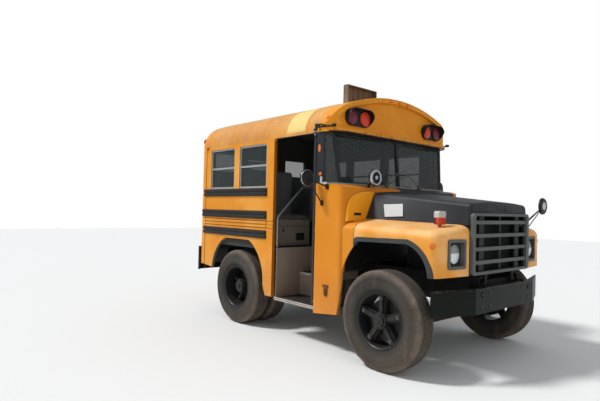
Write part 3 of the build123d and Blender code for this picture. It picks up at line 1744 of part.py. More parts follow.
# Dashboard with the steering column
steer_centre = Vector(380, 480, 1900)
steer_axis = Vector(-0.5, 0, 0.866)
column_radius = 30
shaft_tip = 12
dash_rear_x = 690
dash_foot_z = 1690
dash_top_z = 1889
with BuildPart() as dashboard:
    cab_front_x = cowl_front_x - wall - pin_clearance
    dash_half = inner_y - pin_clearance
    add(box_between((dash_rear_x, -dash_half, dash_foot_z), (cab_front_x, dash_half, dash_top_z)))
    fillet(dashboard.edges().filter_by(Axis.Y).sort_by(Axis.X)[:2], 40)
    add(box_between((dash_rear_x - 50, 300, dash_foot_z + 20), (dash_rear_x + 60, 660, dash_top_z - 10)))
    add(rod(steer_centre - steer_axis * 60, steer_centre - steer_axis * 838, column_radius))
    add(rod(steer_centre - steer_axis * 62, steer_centre + steer_axis * 14, shaft_tip))
    add(box_between((740, 420, floor_top_z + pin_clearance), (860, 540, 1200)))
    add(box_between((560, 440, 1690), (dash_rear_x + 50, 520, 1730)))
    add(rod((600, 480, 1480), (600, 480, 1700), 12))
finish(dashboard, "dashboard")

wheel_rim_radius = 225
wheel_tube = 16
with BuildPart() as steering_wheel:
    with Locations(Plane(origin=steer_centre, x_dir=(0, 1, 0), z_dir=steer_axis)):
        Torus(wheel_rim_radius, wheel_tube)
        Cylinder(44, 40)
        Box(2 * wheel_rim_radius, 34, 12)
        with Locations((0, -wheel_rim_radius / 2, 0)):
            Box(34, wheel_rim_radius, 12)
        Cylinder(shaft_tip + pin_clearance, 120, mode=Mode.SUBTRACT)
finish(steering_wheel, "steering_wheel")


# Heater box behind the entrance and the grab rail round it
heater_low = (-574, -1132, floor_top_z + pin_clearance)
heater_high = (-402, -480, 1547)
with BuildPart() as heater_box:
    add(box_between(heater_low, heater_high))
    fillet(heater_box.edges().filter_by(Axis.Z), 25)
finish(heater_box, "heater_box")

rail_tube = 16
ceiling_z = 3048
with BuildPart() as grab_rail:
    with BuildLine():
        rail_path = FilletPolyline(
            (-350, -1130, floor_top_z + pin_clearance),
            (-350, -1130, 1550),
            (-350, -679, 1983),
            (-350, -455, 1983),
            radius=70,
        )
    with BuildSketch(Plane(origin=rail_path @ 0, z_dir=rail_path % 0)):
        Circle(rail_tube)
    sweep()
    add(rod((-350, -440, floor_top_z + pin_clearance), (-350, -440, ceiling_z), rail_tube + 2))
finish(grab_rail, "grab_rail")


# Seats: two benches on each side and the driver's seat
bench_rows = (
    # rear face of the backrest
    -1230,
    -1960,
)
bench_inner_y = 190
bench_outer_y = 1165
back_depth = 110
cushion_depth = 400
cushion_foot_z = 1430
cushion_top_z = 1577
back_top_z = 1950
seat_round = 36
driver_y = 450
driver_half = 230
driver_seat_z = 1520
with BuildPart() as seat_cushions:
    for side in (-1, 1):
        for back_x in bench_rows:
            near = min(side * bench_inner_y, side * bench_outer_y)
            far = max(side * bench_inner_y, side * bench_outer_y)
            front_x = back_x + back_depth
            add(box_between((back_x, near, cushion_foot_z), (front_x, far, back_top_z)))
            add(
                box_between(
                    (front_x + 2, near, cushion_foot_z),
                    (front_x + 2 + cushion_depth, far, cushion_top_z),
                )
            )
    driver_low = driver_y - driver_half
    driver_high = driver_y + driver_half
    add(box_between((-250, driver_low, driver_seat_z), (210, driver_high, driver_seat_z + 120)))
    add(box_between((-370, driver_low, driver_seat_z), (-252, driver_high, driver_seat_z + 620)))
    fillet(seat_cushions.edges().filter_by(Axis.Y), seat_round)
finish(seat_cushions, "seat_cushions")

frame_plate = 20
leg_size = 34
with BuildPart() as seat_frames:
    for side in (-1, 1):
        for back_x in bench_rows:
            plate_top = cushion_foot_z - pin_clearance
            near = min(side * (bench_inner_y + 40), side * (inner_y - pin_clearance))
            far = max(side * (bench_inner_y + 40), side * (inner_y - pin_clearance))
            rear_x = back_x + 20
            front_x = back_x + back_depth + cushion_depth - 20
            add(box_between((rear_x, near, plate_top - frame_plate), (front_x, far, plate_top)))
            for leg_x in (rear_x + leg_size, front_x - leg_size):
                leg_foot = floor_top_z + pin_clearance
                with Locations((leg_x, side * 330, (leg_foot + plate_top - 2) / 2)):
                    Box(leg_size, leg_size, plate_top - 2 - leg_foot)
    pedestal_top = driver_seat_z - pin_clearance
    add(box_between((-170, 330, floor_top_z + pin_clearance), (130, 570, pedestal_top)))
    add(box_between((-350, 260, pedestal_top - frame_plate), (180, 640, pedestal_top)))
finish(seat_frames, "seat_frames")


# Stop arm: a blank eight-sided plate folded against the left wall
arm_pivot = (330, 1252)
arm_foot_z = 1667
arm_head_z = 1793
arm_pin_radius = 6
arm_plate_y = 1256
arm_plate = 6
octagon_radius = 232
octagon_x = 60
with BuildPart() as stop_arm_bracket:
    add(box_between((286, half_width + pin_clearance, 1650), (374, 1233, 1810)))
    for low_z, high_z in ((1652, 1664), (1796, 1808)):
        add(box_between((arm_pivot[0] - 12, 1232, low_z), (arm_pivot[0] + 12, 1264, high_z)))
    with Locations((*arm_pivot, (arm_foot_z + arm_head_z) / 2)):
        Cylinder(arm_pin_radius, arm_head_z - arm_foot_z + 20)
finish(stop_arm_bracket, "stop_arm_bracket")

with BuildPart() as stop_arm:
    arm_mid_z = (arm_foot_z + arm_head_z) / 2
    with BuildSketch(Plane.XZ.offset(-arm_plate_y)):
        with Locations((octagon_x, arm_mid_z)):
            RegularPolygon(octagon_radius, 8, rotation=22.5)
        with Locations(((octagon_x + arm_pivot[0]) / 2, arm_mid_z)):
            Rectangle(arm_pivot[0] - octagon_x, 80)
    extrude(amount=-arm_plate)
    with Locations((*arm_pivot, arm_mid_z)):
        Cylinder(arm_pin_radius + 6, arm_head_z - arm_foot_z)
        Cylinder(arm_pin_radius + pin_clearance, 200, mode=Mode.SUBTRACT)
finish(stop_arm, "stop_arm")


# Wheels: tyres, spoke rims with drums and the steering knuckles
flange_radius = 298
barrel_inner = 276
tyre_profile = [
    # offset from the tyre's middle, radius
    (103, bead_radius + pin_clearance),
    (112, 299),
    (tyre_width / 2, 396),
    (132, 470),
    (110, 512),
    (84, tyre_radius),
]
rim_profile = [
    (104, bead_radius),
    (112, flange_radius),
    (119, flange_radius),
    (119, 288),
    (108, barrel_inner),
]


def ring_about_y(half_profile):
    # Ring about the Y axis from one half of its section, mirrored to the other side.
    mirrored = [(-t, r) for t, r in reversed(half_profile)]
    with BuildPart() as ring:
        with BuildSketch(Plane.YZ):
            with BuildLine():
                Polyline(*half_profile, *mirrored, close=True)
            make_face()
        revolve(axis=Axis.Y)
    return ring.part


def tube_about_y(outer, inner, low, high):
    with BuildPart() as tube:
        with BuildSketch(Plane.XZ.offset(-low)):
            Circle(outer)
            if inner:
                Circle(inner, mode=Mode.SUBTRACT)
        extrude(amount=low - high)
    return tube.part


tyre_ring = ring_about_y(tyre_profile)
rim_ring = ring_about_y(rim_profile)
spoke_count = 5
spoke_width = 92
rib_width = 44
hub_radius = 84
cap_radius = 62
drum_outer = 215
drum_inner = 192
drum_disc = 12


def spokes(low, mid, high):
    # Cast spokes with a raised rib along each, from the hub to the rim.
    spoke_root = hub_radius - 20
    spoke_tip = barrel_inner + 4
    with BuildPart() as star:
        for width, top in ((spoke_width, mid), (rib_width, high)):
            with BuildSketch(Plane.XZ.offset(-low)):
                with PolarLocations((spoke_root + spoke_tip) / 2, spoke_count, start_angle=90):
                    Rectangle(spoke_tip - spoke_root, width)
            extrude(amount=low - top)
    return star.part


front_hub_low = -12
with BuildPart() as front_wheel:
    add(rim_ring)
    add(spokes(14, 56, 86))
    add(tube_about_y(hub_radius, 0, front_hub_low, 104))
    add(tube_about_y(cap_radius, 0, 100, 126))
    add(tube_about_y(drum_outer, 0, front_hub_low, front_hub_low + drum_disc))
    add(tube_about_y(drum_outer, drum_inner, 1000 - front_wheel_y, front_hub_low + 2))
    bore_end = front_spindle_end_y - front_wheel_y + 4
    add(
        tube_about_y(spindle_radius + pin_clearance, 0, front_hub_low - 5, bore_end),
        mode=Mode.SUBTRACT,
    )

rear_hub_low = -112
with BuildPart() as rear_wheel:
    add(rim_ring)
    add(Pos(0, -twin_spacing, 0) * rim_ring)
    add(tube_about_y(282, barrel_inner - 8, 100 - twin_spacing, -100))
    add(spokes(rear_hub_low, -76, -50))
    add(tube_about_y(100, 0, rear_hub_low, 40))
    add(tube_about_y(84, 0, 36, 62))
    add(tube_about_y(drum_outer, 0, rear_hub_low, rear_hub_low + drum_disc))
    add(tube_about_y(drum_outer, drum_inner, -300, rear_hub_low + 2))
    spindle_hole_end = rear_spindle_end_y - twin_outer_y + 4
    add(
        tube_about_y(spindle_radius + pin_clearance, 0, rear_hub_low - 5, spindle_hole_end),
        mode=Mode.SUBTRACT,
    )

lug_radius = 42
lug_height = 35
lug_gap_z = 5
web_inner_y = 1094
web_outer_y = 1118
knuckle_half = eye_height / 2 + lug_gap_z + lug_height
with BuildPart() as knuckle:
    with Locations((front_axle_x, kingpin_y, hub_z)):
        Cylinder(kingpin_radius, 2 * knuckle_half)
    for direction in (-1, 1):
        lug_z = hub_z + direction * (knuckle_half - lug_height / 2)
        with Locations((front_axle_x, kingpin_y, lug_z)):
            Cylinder(lug_radius, lug_height)
        with Locations((front_axle_x, (kingpin_y + web_outer_y) / 2, lug_z)):
            Box(2 * lug_radius, web_outer_y - kingpin_y, lug_height)
    with Locations((front_axle_x, (web_inner_y + web_outer_y) / 2, hub_z)):
        Box(2 * lug_radius, web_outer_y - web_inner_y, 2 * knuckle_half)
    with Locations((front_axle_x, (web_inner_y + front_spindle_end_y) / 2, hub_z)):
        Cylinder(spindle_radius, front_spindle_end_y - web_inner_y, rotation=(90, 0, 0))

sides = (("right", -1), ("left", 1))
for side_name, side in sides:
    at_front = Pos(front_axle_x, front_wheel_y, hub_z)
    at_rear = Pos(rear_axle_x, twin_outer_y, hub_z)
    wheel_pieces = {
        "knuckle": knuckle.part,
        "front_tyre": at_front * tyre_ring,
        "front_rim": at_front * front_wheel.part,
        "rear_tyre": Part() + [
            at_rear * tyre_ring,
            at_rear * (Pos(0, -twin_spacing, 0) * tyre_ring),
        ],
        "rear_rim": at_rear * rear_wheel.part,
    }
    for name, shape in wheel_pieces.items():
        with BuildPart() as wheel_piece:
            add(shape if side > 0 else shape.mirror(Plane.XZ))
        finish(wheel_piece, f"{name}_{side_name}")
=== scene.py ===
import json
import math

import bmesh
import bpy
from mathutils import Matrix, Vector


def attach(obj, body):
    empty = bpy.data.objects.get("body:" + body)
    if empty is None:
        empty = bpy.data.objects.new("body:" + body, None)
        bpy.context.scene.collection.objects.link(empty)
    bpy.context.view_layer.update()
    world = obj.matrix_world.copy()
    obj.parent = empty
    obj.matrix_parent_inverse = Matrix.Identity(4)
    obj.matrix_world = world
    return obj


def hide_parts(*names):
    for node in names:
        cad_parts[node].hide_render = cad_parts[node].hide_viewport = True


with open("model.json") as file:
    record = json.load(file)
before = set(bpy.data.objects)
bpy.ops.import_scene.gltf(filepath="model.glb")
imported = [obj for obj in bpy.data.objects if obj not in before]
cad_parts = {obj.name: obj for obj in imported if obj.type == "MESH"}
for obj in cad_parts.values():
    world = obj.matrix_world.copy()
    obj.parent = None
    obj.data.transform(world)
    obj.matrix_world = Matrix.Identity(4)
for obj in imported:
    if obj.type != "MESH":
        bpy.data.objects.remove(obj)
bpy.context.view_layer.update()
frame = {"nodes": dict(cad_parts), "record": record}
nodes = frame["nodes"]


scene = bpy.context.scene


# Node tools
def setInputs(tree, node, inputs):
    # inputs: for each socket a value or the output that feeds it
    for socket, value in inputs.items():
        if hasattr(value, "node"):
            tree.links.new(value, node.inputs[socket])
        else:
            node.inputs[socket].default_value = value


def addNode(tree, kind, inputs=None, **settings):
    node = tree.nodes.new(kind)
    for setting, value in settings.items():
        setattr(node, setting, value)
    setInputs(tree, node, inputs or {})
    return node


def objectPlace(tree):
    return addNode(tree, "ShaderNodeTexCoord").outputs["Object"]


def splitAxes(tree, vector):
    return addNode(tree, "ShaderNodeSeparateXYZ", {0: vector}).outputs


def faceNormal(tree):
    return splitAxes(tree, addNode(tree, "ShaderNodeNewGeometry").outputs["Normal"])


def addNoise(tree, place, scale, detail, rough=0.55):
    inputs = {"Vector": place, "Scale": scale, "Detail": detail, "Roughness": rough}
    return addNode(tree, "ShaderNodeTexNoise", inputs).outputs["Fac"]


def addRange(tree, value, low, high, toLow=0.0, toHigh=1.0):
    inputs = {"Value": value, "From Min": low, "From Max": high, "To Min": toLow, "To Max": toHigh}
    return addNode(tree, "ShaderNodeMapRange", inputs, interpolation_type="SMOOTHSTEP").outputs["Result"]


def addMath(tree, operation, *amounts, clamp=False):
    inputs = dict(enumerate(amounts))
    return addNode(tree, "ShaderNodeMath", inputs, operation=operation, use_clamp=clamp).outputs[0]


def addMix(tree, share, first, second):
    return addNode(tree, "ShaderNodeMix", {0: share, 6: first, 7: second}, data_type="RGBA").outputs[2]


def newGroup(name, inputs, outputs):
    group = bpy.data.node_groups.new(name, "ShaderNodeTree")
    for label, kind, value in inputs:
        socket = group.interface.new_socket(label, in_out="INPUT", socket_type="NodeSocket" + kind)
        socket.default_value = value
    for label, kind in outputs:
        group.interface.new_socket(label, in_out="OUTPUT", socket_type="NodeSocket" + kind)
    return group, addNode(group, "NodeGroupInput").outputs


# Camera and light
photo = {
    "place": (4.812, -5.274, 1.670),
    "right": (0.66031, 0.75061, 0.02406),
    "down": (0.00274, 0.02962, -0.99956),
    "forward": (-0.75099, 0.66008, 0.01750),
    "lens": 29.5476,
    "width": 600,
    "height": 401,
}
light = {
    "sky": 0.52, "skyLow": (0.42, 0.42, 0.40, 1), "skyHigh": (0.92, 0.96, 1.0, 1), "skyBlend": 0.55,
    "sun": 2.6, "sunSpread": 9, "sunAim": (0.52, 0.66, -1.05),
    "fill": 48.0, "fillPlace": (7.5, -3.0, 4.5), "fillAim": (-6.0, 2.4, -3.5), "fillSize": 4.0,
    "fillTint": (1.0, 0.99, 0.97), "floor": (0.80, 0.80, 0.79, 1.0),
}
scene.render.resolution_x = photo["width"]
scene.render.resolution_y = photo["height"]
scene.view_settings.view_transform = "Standard"
cameraData = bpy.data.cameras.new("photoCamera")
cameraData.lens = photo["lens"]
cameraData.sensor_width = 36
camera = bpy.data.objects.new("photoCamera", cameraData)
scene.collection.objects.link(camera)
right, down, forward = (Vector(photo[key]) for key in ("right", "down", "forward"))
turn = Matrix((right, -down, -forward)).transposed()
camera.matrix_world = Matrix.Translation(photo["place"]) @ turn.to_4x4()
scene.camera = camera


def makeWorld():
    # The camera and what it sees through glass get white, the lighting gets a soft sky
    world = bpy.data.worlds.new("studio")
    world.use_nodes = True
    tree = world.node_tree
    tree.nodes.clear()
    upward = splitAxes(tree, addNode(tree, "ShaderNodeTexCoord").outputs["Generated"])["Z"]
    ramp = addNode(tree, "ShaderNodeValToRGB", {"Fac": addMath(tree, "MULTIPLY_ADD", upward, 0.5, 0.5)})
    lowEnd, highEnd = ramp.color_ramp.elements
    lowEnd.color = light["skyLow"]
    highEnd.position = light["skyBlend"]
    highEnd.color = light["skyHigh"]
    soft = addNode(tree, "ShaderNodeBackground", {"Color": ramp.outputs["Color"], "Strength": light["sky"]})
    plain = addNode(tree, "ShaderNodeBackground", {"Color": (1, 1, 1, 1), "Strength": 1.0})
    rays = addNode(tree, "ShaderNodeLightPath").outputs
    seen = addMath(tree, "MAXIMUM", rays["Is Camera Ray"], rays["Is Transmission Ray"])
    mix = addNode(tree, "ShaderNodeMixShader", {"Fac": seen, 1: soft.outputs[0], 2: plain.outputs[0]})
    addNode(tree, "ShaderNodeOutputWorld", {"Surface": mix.outputs[0]})
    scene.world = world


def addLamp(name, kind, energy, aim, place=(0, 0, 0), **settings):
    data = bpy.data.lights.new(name, kind)
    data.energy = energy
    for setting, value in settings.items():
        setattr(data, setting, value)
    lamp = bpy.data.objects.new(name, data)
    lamp.location = place
    lamp.rotation_mode = "QUATERNION"
    lamp.rotation_quaternion = Vector(aim).to_track_quat("-Z", "Y")
    scene.collection.objects.link(lamp)


makeWorld()
addLamp("sun", "SUN", light["sun"], light["sunAim"], angle=math.radians(light["sunSpread"]))
addLamp("frontFill", "AREA", light["fill"], light["fillAim"], light["fillPlace"], size=light["fillSize"],
        color=light["fillTint"])


# Mesh tools
def newObject(name, mesh):
    item = bpy.data.objects.new(name, mesh)
    scene.collection.objects.link(item)
    return item


def evaluatedMesh(item):
    return bpy.data.meshes.new_from_object(item.evaluated_get(bpy.context.evaluated_depsgraph_get()))


def meshFrom(name, build, smooth=True):
    bm = bmesh.new()
    build(bm)
    bmesh.ops.recalc_face_normals(bm, faces=bm.faces[:])
    mesh = bpy.data.meshes.new(name)
    bm.to_mesh(mesh)
    bm.free()
    if smooth:
        mesh.shade_smooth()
    return newObject(name, mesh)


def dress(item, material, body, replaced=()):
    item.data.materials.clear()
    item.data.materials.append(materials[material])
    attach(item, body)
    for node in replaced:
        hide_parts(node)


def addPiece(name, build, material, body="bus", smooth=True, replaced=()):
    dress(meshFrom(name, build, smooth), material, body, replaced)


def linkedVerts(seed):
    found = set(seed)
    queue = list(seed)
    while queue:
        vert = queue.pop()
        for edge in vert.link_edges:
            other = edge.other_vert(vert)
            if other not in found:
                found.add(other)
                queue.append(other)
    return list(found)


def addBox(bm, centre, size, bevel=0.0, turnMatrix=None):
    made = bmesh.ops.create_cube(bm, size=1.0)["verts"]
    bmesh.ops.scale(bm, verts=made, vec=size)
    if bevel:
        edges = {edge for vert in made for edge in vert.link_edges}
        out = bmesh.ops.bevel(bm, geom=list(edges), offset=bevel, segments=2, affect="EDGES", profile=0.5)
        made = linkedVerts({vert for face in out["faces"] for vert in face.verts})
    if turnMatrix is not None:
        bmesh.ops.transform(bm, verts=made, matrix=turnMatrix)
    bmesh.ops.translate(bm, verts=made, vec=centre)


def addTube(bm, points, radius, sides=8):
    points = [Vector(point) for point in points]
    rings = []
    for index, point in enumerate(points):
        ahead = points[min(index + 1, len(points) - 1)] - points[max(index - 1, 0)]
        ahead.normalize()
        across = ahead.cross(Vector((0, 0, 1)))
        if across.length < 0.2:
            across = ahead.cross(Vector((0, 1, 0)))
        across.normalize()
        upward = across.cross(ahead)
        ring = []
        for step in range(sides):
            angle = 2 * math.pi * step / sides
            ring.append(bm.verts.new(point + radius * (math.cos(angle) * across + math.sin(angle) * upward)))
        rings.append(ring)
    for low, high in zip(rings[:-1], rings[1:]):
        for step in range(sides):
            other = (step + 1) % sides
            bm.faces.new((low[step], low[other], high[other], high[step]))
    bm.faces.new(list(reversed(rings[0])))
    bm.faces.new(rings[-1])


def addLathe(bm, profile, centre, axis, sides=48, shift=None, closed=False):
    # profile: (distance along the axis, radius) pairs
    axis = Vector(axis).normalized()
    across = axis.orthogonal().normalized()
    upward = axis.cross(across)
    centre = Vector(centre)
    rings = []
    for step in range(sides):
        angle = 2 * math.pi * step / sides
        out = math.cos(angle) * across + math.sin(angle) * upward
        ring = []
        for index, (along, radius) in enumerate(profile):
            moved = along + (shift(step, index) if shift else 0.0)
            ring.append(bm.verts.new(centre + axis * moved + out * radius))
        rings.append(ring)
    for step in range(sides):
        first, second = rings[step], rings[(step + 1) % sides]
        for index in range(len(profile) - (0 if closed else 1)):
            after = (index + 1) % len(profile)
            bm.faces.new((first[index], first[after], second[after], second[index]))
    bmesh.ops.remove_doubles(bm, verts=[v for ring in rings for v in ring], dist=1e-6)


def addDome(bm, centre, axis, radius, height, sides=12, rings=3):
    turns = [0.5 * math.pi * step / rings for step in range(rings + 1)]
    addLathe(bm, [(height * math.sin(turn), radius * math.cos(turn)) for turn in turns], centre, axis, sides)


def ovalProfile(along, radius, halfLength, halfHeight, count):
    # Closed oval section of a ring for addLathe
    turns = [2 * math.pi * step / count for step in range(count)]
    return [(along + halfLength * math.cos(turn), radius + halfHeight * math.sin(turn)) for turn in turns]


def addPlate(bm, outline, thickness):
    # Flat plate from corners given in order, thickened along its normal
    points = [Vector(corner) for corner in outline]
    normal = (points[1] - points[0]).cross(points[2] - points[0]).normalized()
    front = [bm.verts.new(point + normal * thickness) for point in points]
    back = [bm.verts.new(point) for point in points]
    bm.faces.new(front)
    bm.faces.new(list(reversed(back)))
    count = len(points)
    for index in range(count):
        after = (index + 1) % count
        bm.faces.new((back[index], back[after], front[after], front[index]))


def fittings(parts, sides=(-1, 1)):
    # Builder of boxes (centre, size, bevel) and tubes (points, radius, sides), repeated on each side
    def build(bm):
        for side in sides:
            for (x, y, z), size, bevel in parts.get("boxes", ()):
                addBox(bm, (x, side * y, z), size, bevel)
            for points, radius, count in parts.get("tubes", ()):
                addTube(bm, [(x, side * y, z) for x, y, z in points], radius, count)

    return build


def makeRepeatTree(name, hexagonal):
    # Small heads on every point of a carrier mesh, turned to its "facing" attribute
    tree = bpy.data.node_groups.new(name, "GeometryNodeTree")
    for label, flow, kind in (
        ("Geometry", "INPUT", "Geometry"), ("Head Radius", "INPUT", "Float"),
        ("Head Height", "INPUT", "Float"), ("Material", "INPUT", "Material"),
        ("Geometry", "OUTPUT", "Geometry"),
    ):
        tree.interface.new_socket(label, in_out=flow, socket_type="NodeSocket" + kind)
    given = addNode(tree, "NodeGroupInput").outputs
    radius, height = given["Head Radius"], given["Head Height"]
    if hexagonal:
        nut = addNode(tree, "GeometryNodeMeshCylinder", {"Vertices": 6, "Radius": radius, "Depth": height})
        wide = addMath(tree, "MULTIPLY", radius, 1.32)
        thin = addMath(tree, "MULTIPLY", height, 0.3)
        washer = addNode(tree, "GeometryNodeMeshCylinder", {"Vertices": 14, "Radius": wide, "Depth": thin})
        head = addNode(tree, "GeometryNodeJoinGeometry", {0: nut.outputs["Mesh"]})
        tree.links.new(washer.outputs["Mesh"], head.inputs[0])
    else:
        ball = addNode(tree, "GeometryNodeMeshUVSphere", {"Segments": 8, "Rings": 6, "Radius": 1.0})
        flat = addNode(tree, "ShaderNodeCombineXYZ", {0: radius, 1: radius, 2: height})
        head = addNode(tree, "GeometryNodeTransform", {"Geometry": ball.outputs["Mesh"],
                                                       "Scale": flat.outputs[0]})
    facing = addNode(tree, "GeometryNodeInputNamedAttribute", {"Name": "facing"}, data_type="FLOAT_VECTOR")
    aim = addNode(tree, "FunctionNodeAlignRotationToVector", {"Vector": facing.outputs["Attribute"]}, axis="Z")
    spread = addNode(tree, "GeometryNodeInstanceOnPoints", {
        "Points": given["Geometry"], "Instance": head.outputs[0], "Rotation": aim.outputs[0],
    })
    real = addNode(tree, "GeometryNodeRealizeInstances", {0: spread.outputs[0]})
    paint = addNode(tree, "GeometryNodeSetMaterial", {"Geometry": real.outputs[0],
                                                      "Material": given["Material"]})
    addNode(tree, "NodeGroupOutput", {0: paint.outputs[0]})
    return tree


rivetTree = makeRepeatTree("rivets", False)
nutTree = makeRepeatTree("nuts", True)


def addRepeats(name, tree, radius, height, spots, material, body):
    # spots: (place, facing) pairs
    mesh = bpy.data.meshes.new(name + "Points")
    mesh.from_pydata([place for place, way in spots], [], [])
    facing = mesh.attributes.new("facing", "FLOAT_VECTOR", "POINT")
    for index, (place, way) in enumerate(spots):
        facing.data[index].vector = way
    carrier = newObject(name + "Carrier", mesh)
    modifier = carrier.modifiers.new("repeats", "NODES")
    modifier.node_group = tree
    values = {"Head Radius": radius, "Head Height": height, "Material": materials[material]}
    for socket in tree.interface.items_tree:
        if socket.in_out == "INPUT" and socket.name in values:
            modifier[socket.identifier] = values[socket.name]
    bpy.context.view_layer.update()
    made = evaluatedMesh(carrier)
    bpy.data.objects.remove(carrier)
    made.name = name
    dress(newObject(name, made), material, body)


# Materials
def makeWear():
    # Sun fading, road dirt from the ground up, run marks and rust spots
    group, given = newGroup(
        "wear",
        (
            ("Base", "Color", (0.8, 0.4, 0.05, 1)),
            ("Faded", "Color", (0.9, 0.6, 0.2, 1)),
            ("Fade", "Float", 0.5),
            ("Dirt", "Color", (0.30, 0.24, 0.18, 1)),
            ("Dirt Amount", "Float", 0.5),
            ("Dirt Height", "Float", 1.0),
            ("Rust Amount", "Float", 0.1),
            ("Roughness", "Float", 0.4),
        ),
        (("Color", "Color"), ("Roughness", "Float"), ("Height", "Float")),
    )
    place = objectPlace(group)
    upward = addRange(group, faceNormal(group)["Z"], 0.1, 0.95)
    broad = addNoise(group, place, 1.6, 4)
    fine = addNoise(group, place, 22, 6, 0.65)
    stretch = addNode(group, "ShaderNodeMapping", {"Vector": place, "Scale": (9, 9, 0.7)})
    streak = addNoise(group, stretch.outputs[0], 1.4, 5, 0.6)
    fadeShare = addMath(group, "MULTIPLY_ADD", upward, 0.6, addRange(group, broad, 0.35, 0.75), clamp=True)
    fadeShare = addMath(group, "MULTIPLY", fadeShare, given["Fade"])
    color = addMix(group, fadeShare, given["Base"], given["Faded"])
    low = addRange(group, splitAxes(group, place)["Z"], given["Dirt Height"], 0.25)
    ragged = addRange(group, addMath(group, "ADD", fine, streak), 0.75, 1.25)
    film = addMath(group, "MULTIPLY", low, addMath(group, "MULTIPLY_ADD", ragged, 0.7, 0.3))
    runs = addMath(group, "MULTIPLY", addRange(group, streak, 0.56, 0.74), 0.35)
    dirt = addMath(group, "MULTIPLY", addMath(group, "ADD", film, runs), given["Dirt Amount"], clamp=True)
    color = addMix(group, dirt, color, given["Dirt"])
    spots = addNoise(group, place, 7.5, 9, 0.72)
    edge = addMath(group, "SUBTRACT", 0.80, addMath(group, "MULTIPLY", given["Rust Amount"], 0.42))
    rust = addRange(group, spots, edge, addMath(group, "ADD", edge, 0.05))
    rustTone = addMix(group, fine, (0.10, 0.035, 0.012, 1), (0.33, 0.13, 0.045, 1))
    rough = addMath(group, "MULTIPLY_ADD", dirt, 0.35, given["Roughness"])
    addNode(group, "NodeGroupOutput", {
        "Color": addMix(group, rust, color, rustTone),
        "Roughness": addMath(group, "MULTIPLY_ADD", rust, 0.45, rough, clamp=True),
        "Height": addMath(group, "MULTIPLY_ADD", rust, -0.5, addMath(group, "MULTIPLY", fine, 0.12)),
    })
    return group


wear = makeWear()


def newMaterial(name):
    material = bpy.data.materials.new(name)
    material.use_nodes = True
    return material, material.node_tree, material.node_tree.nodes["Principled BSDF"]


def makeMaterial(name, look):
    material, tree, shader = newMaterial(name)
    worn = addNode(tree, "ShaderNodeGroup", {
        "Base": (*look["color"], 1),
        "Faded": (*look.get("faded", look["color"]), 1),
        "Fade": look.get("fade", 0.4),
        "Dirt": (*look.get("dirtTone", (0.27, 0.21, 0.155)), 1),
        "Dirt Amount": look.get("dirt", 0.35),
        "Dirt Height": look.get("dirtHeight", 1.1),
        "Rust Amount": look.get("rust", 0.0),
        "Roughness": look.get("rough", 0.45),
    }, node_tree=wear).outputs
    bump = addNode(tree, "ShaderNodeBump", {"Strength": look.get("bump", 0.15), "Distance": 0.004,
                                            "Height": worn["Height"]})
    setInputs(tree, shader, {
        "Base Color": worn["Color"],
        "Roughness": worn["Roughness"],
        "Metallic": look.get("metal", 0.0),
        "Specular IOR Level": look.get("gloss", 0.22),
        "Coat Weight": look.get("coat", 0.0),
        "Coat Roughness": 0.15,
        "Normal": bump.outputs["Normal"],
    })
    return material


def makeGlass(name, tint, alpha):
    material, tree, shader = newMaterial(name)
    setInputs(tree, shader, {"Base Color": (*tint, 1), "Roughness": 0.05, "Alpha": alpha,
                             "Specular IOR Level": 0.45})
    return material


def makeLens(name, color, glow):
    # Moulded lens with fine ribs
    material, tree, shader = newMaterial(name)
    wave = addNode(tree, "ShaderNodeTexWave", {"Vector": objectPlace(tree), "Scale": 32}, bands_direction="Z")
    bump = addNode(tree, "ShaderNodeBump", {"Strength": 0.35, "Distance": 0.003, "Height": wave.outputs["Fac"]})
    setInputs(tree, shader, {
        "Base Color": (*color, 1), "Roughness": 0.18, "Coat Weight": 0.15, "Specular IOR Level": 0.3,
        "Emission Color": (*color, 1), "Emission Strength": glow, "Normal": bump.outputs["Normal"],
    })
    return material


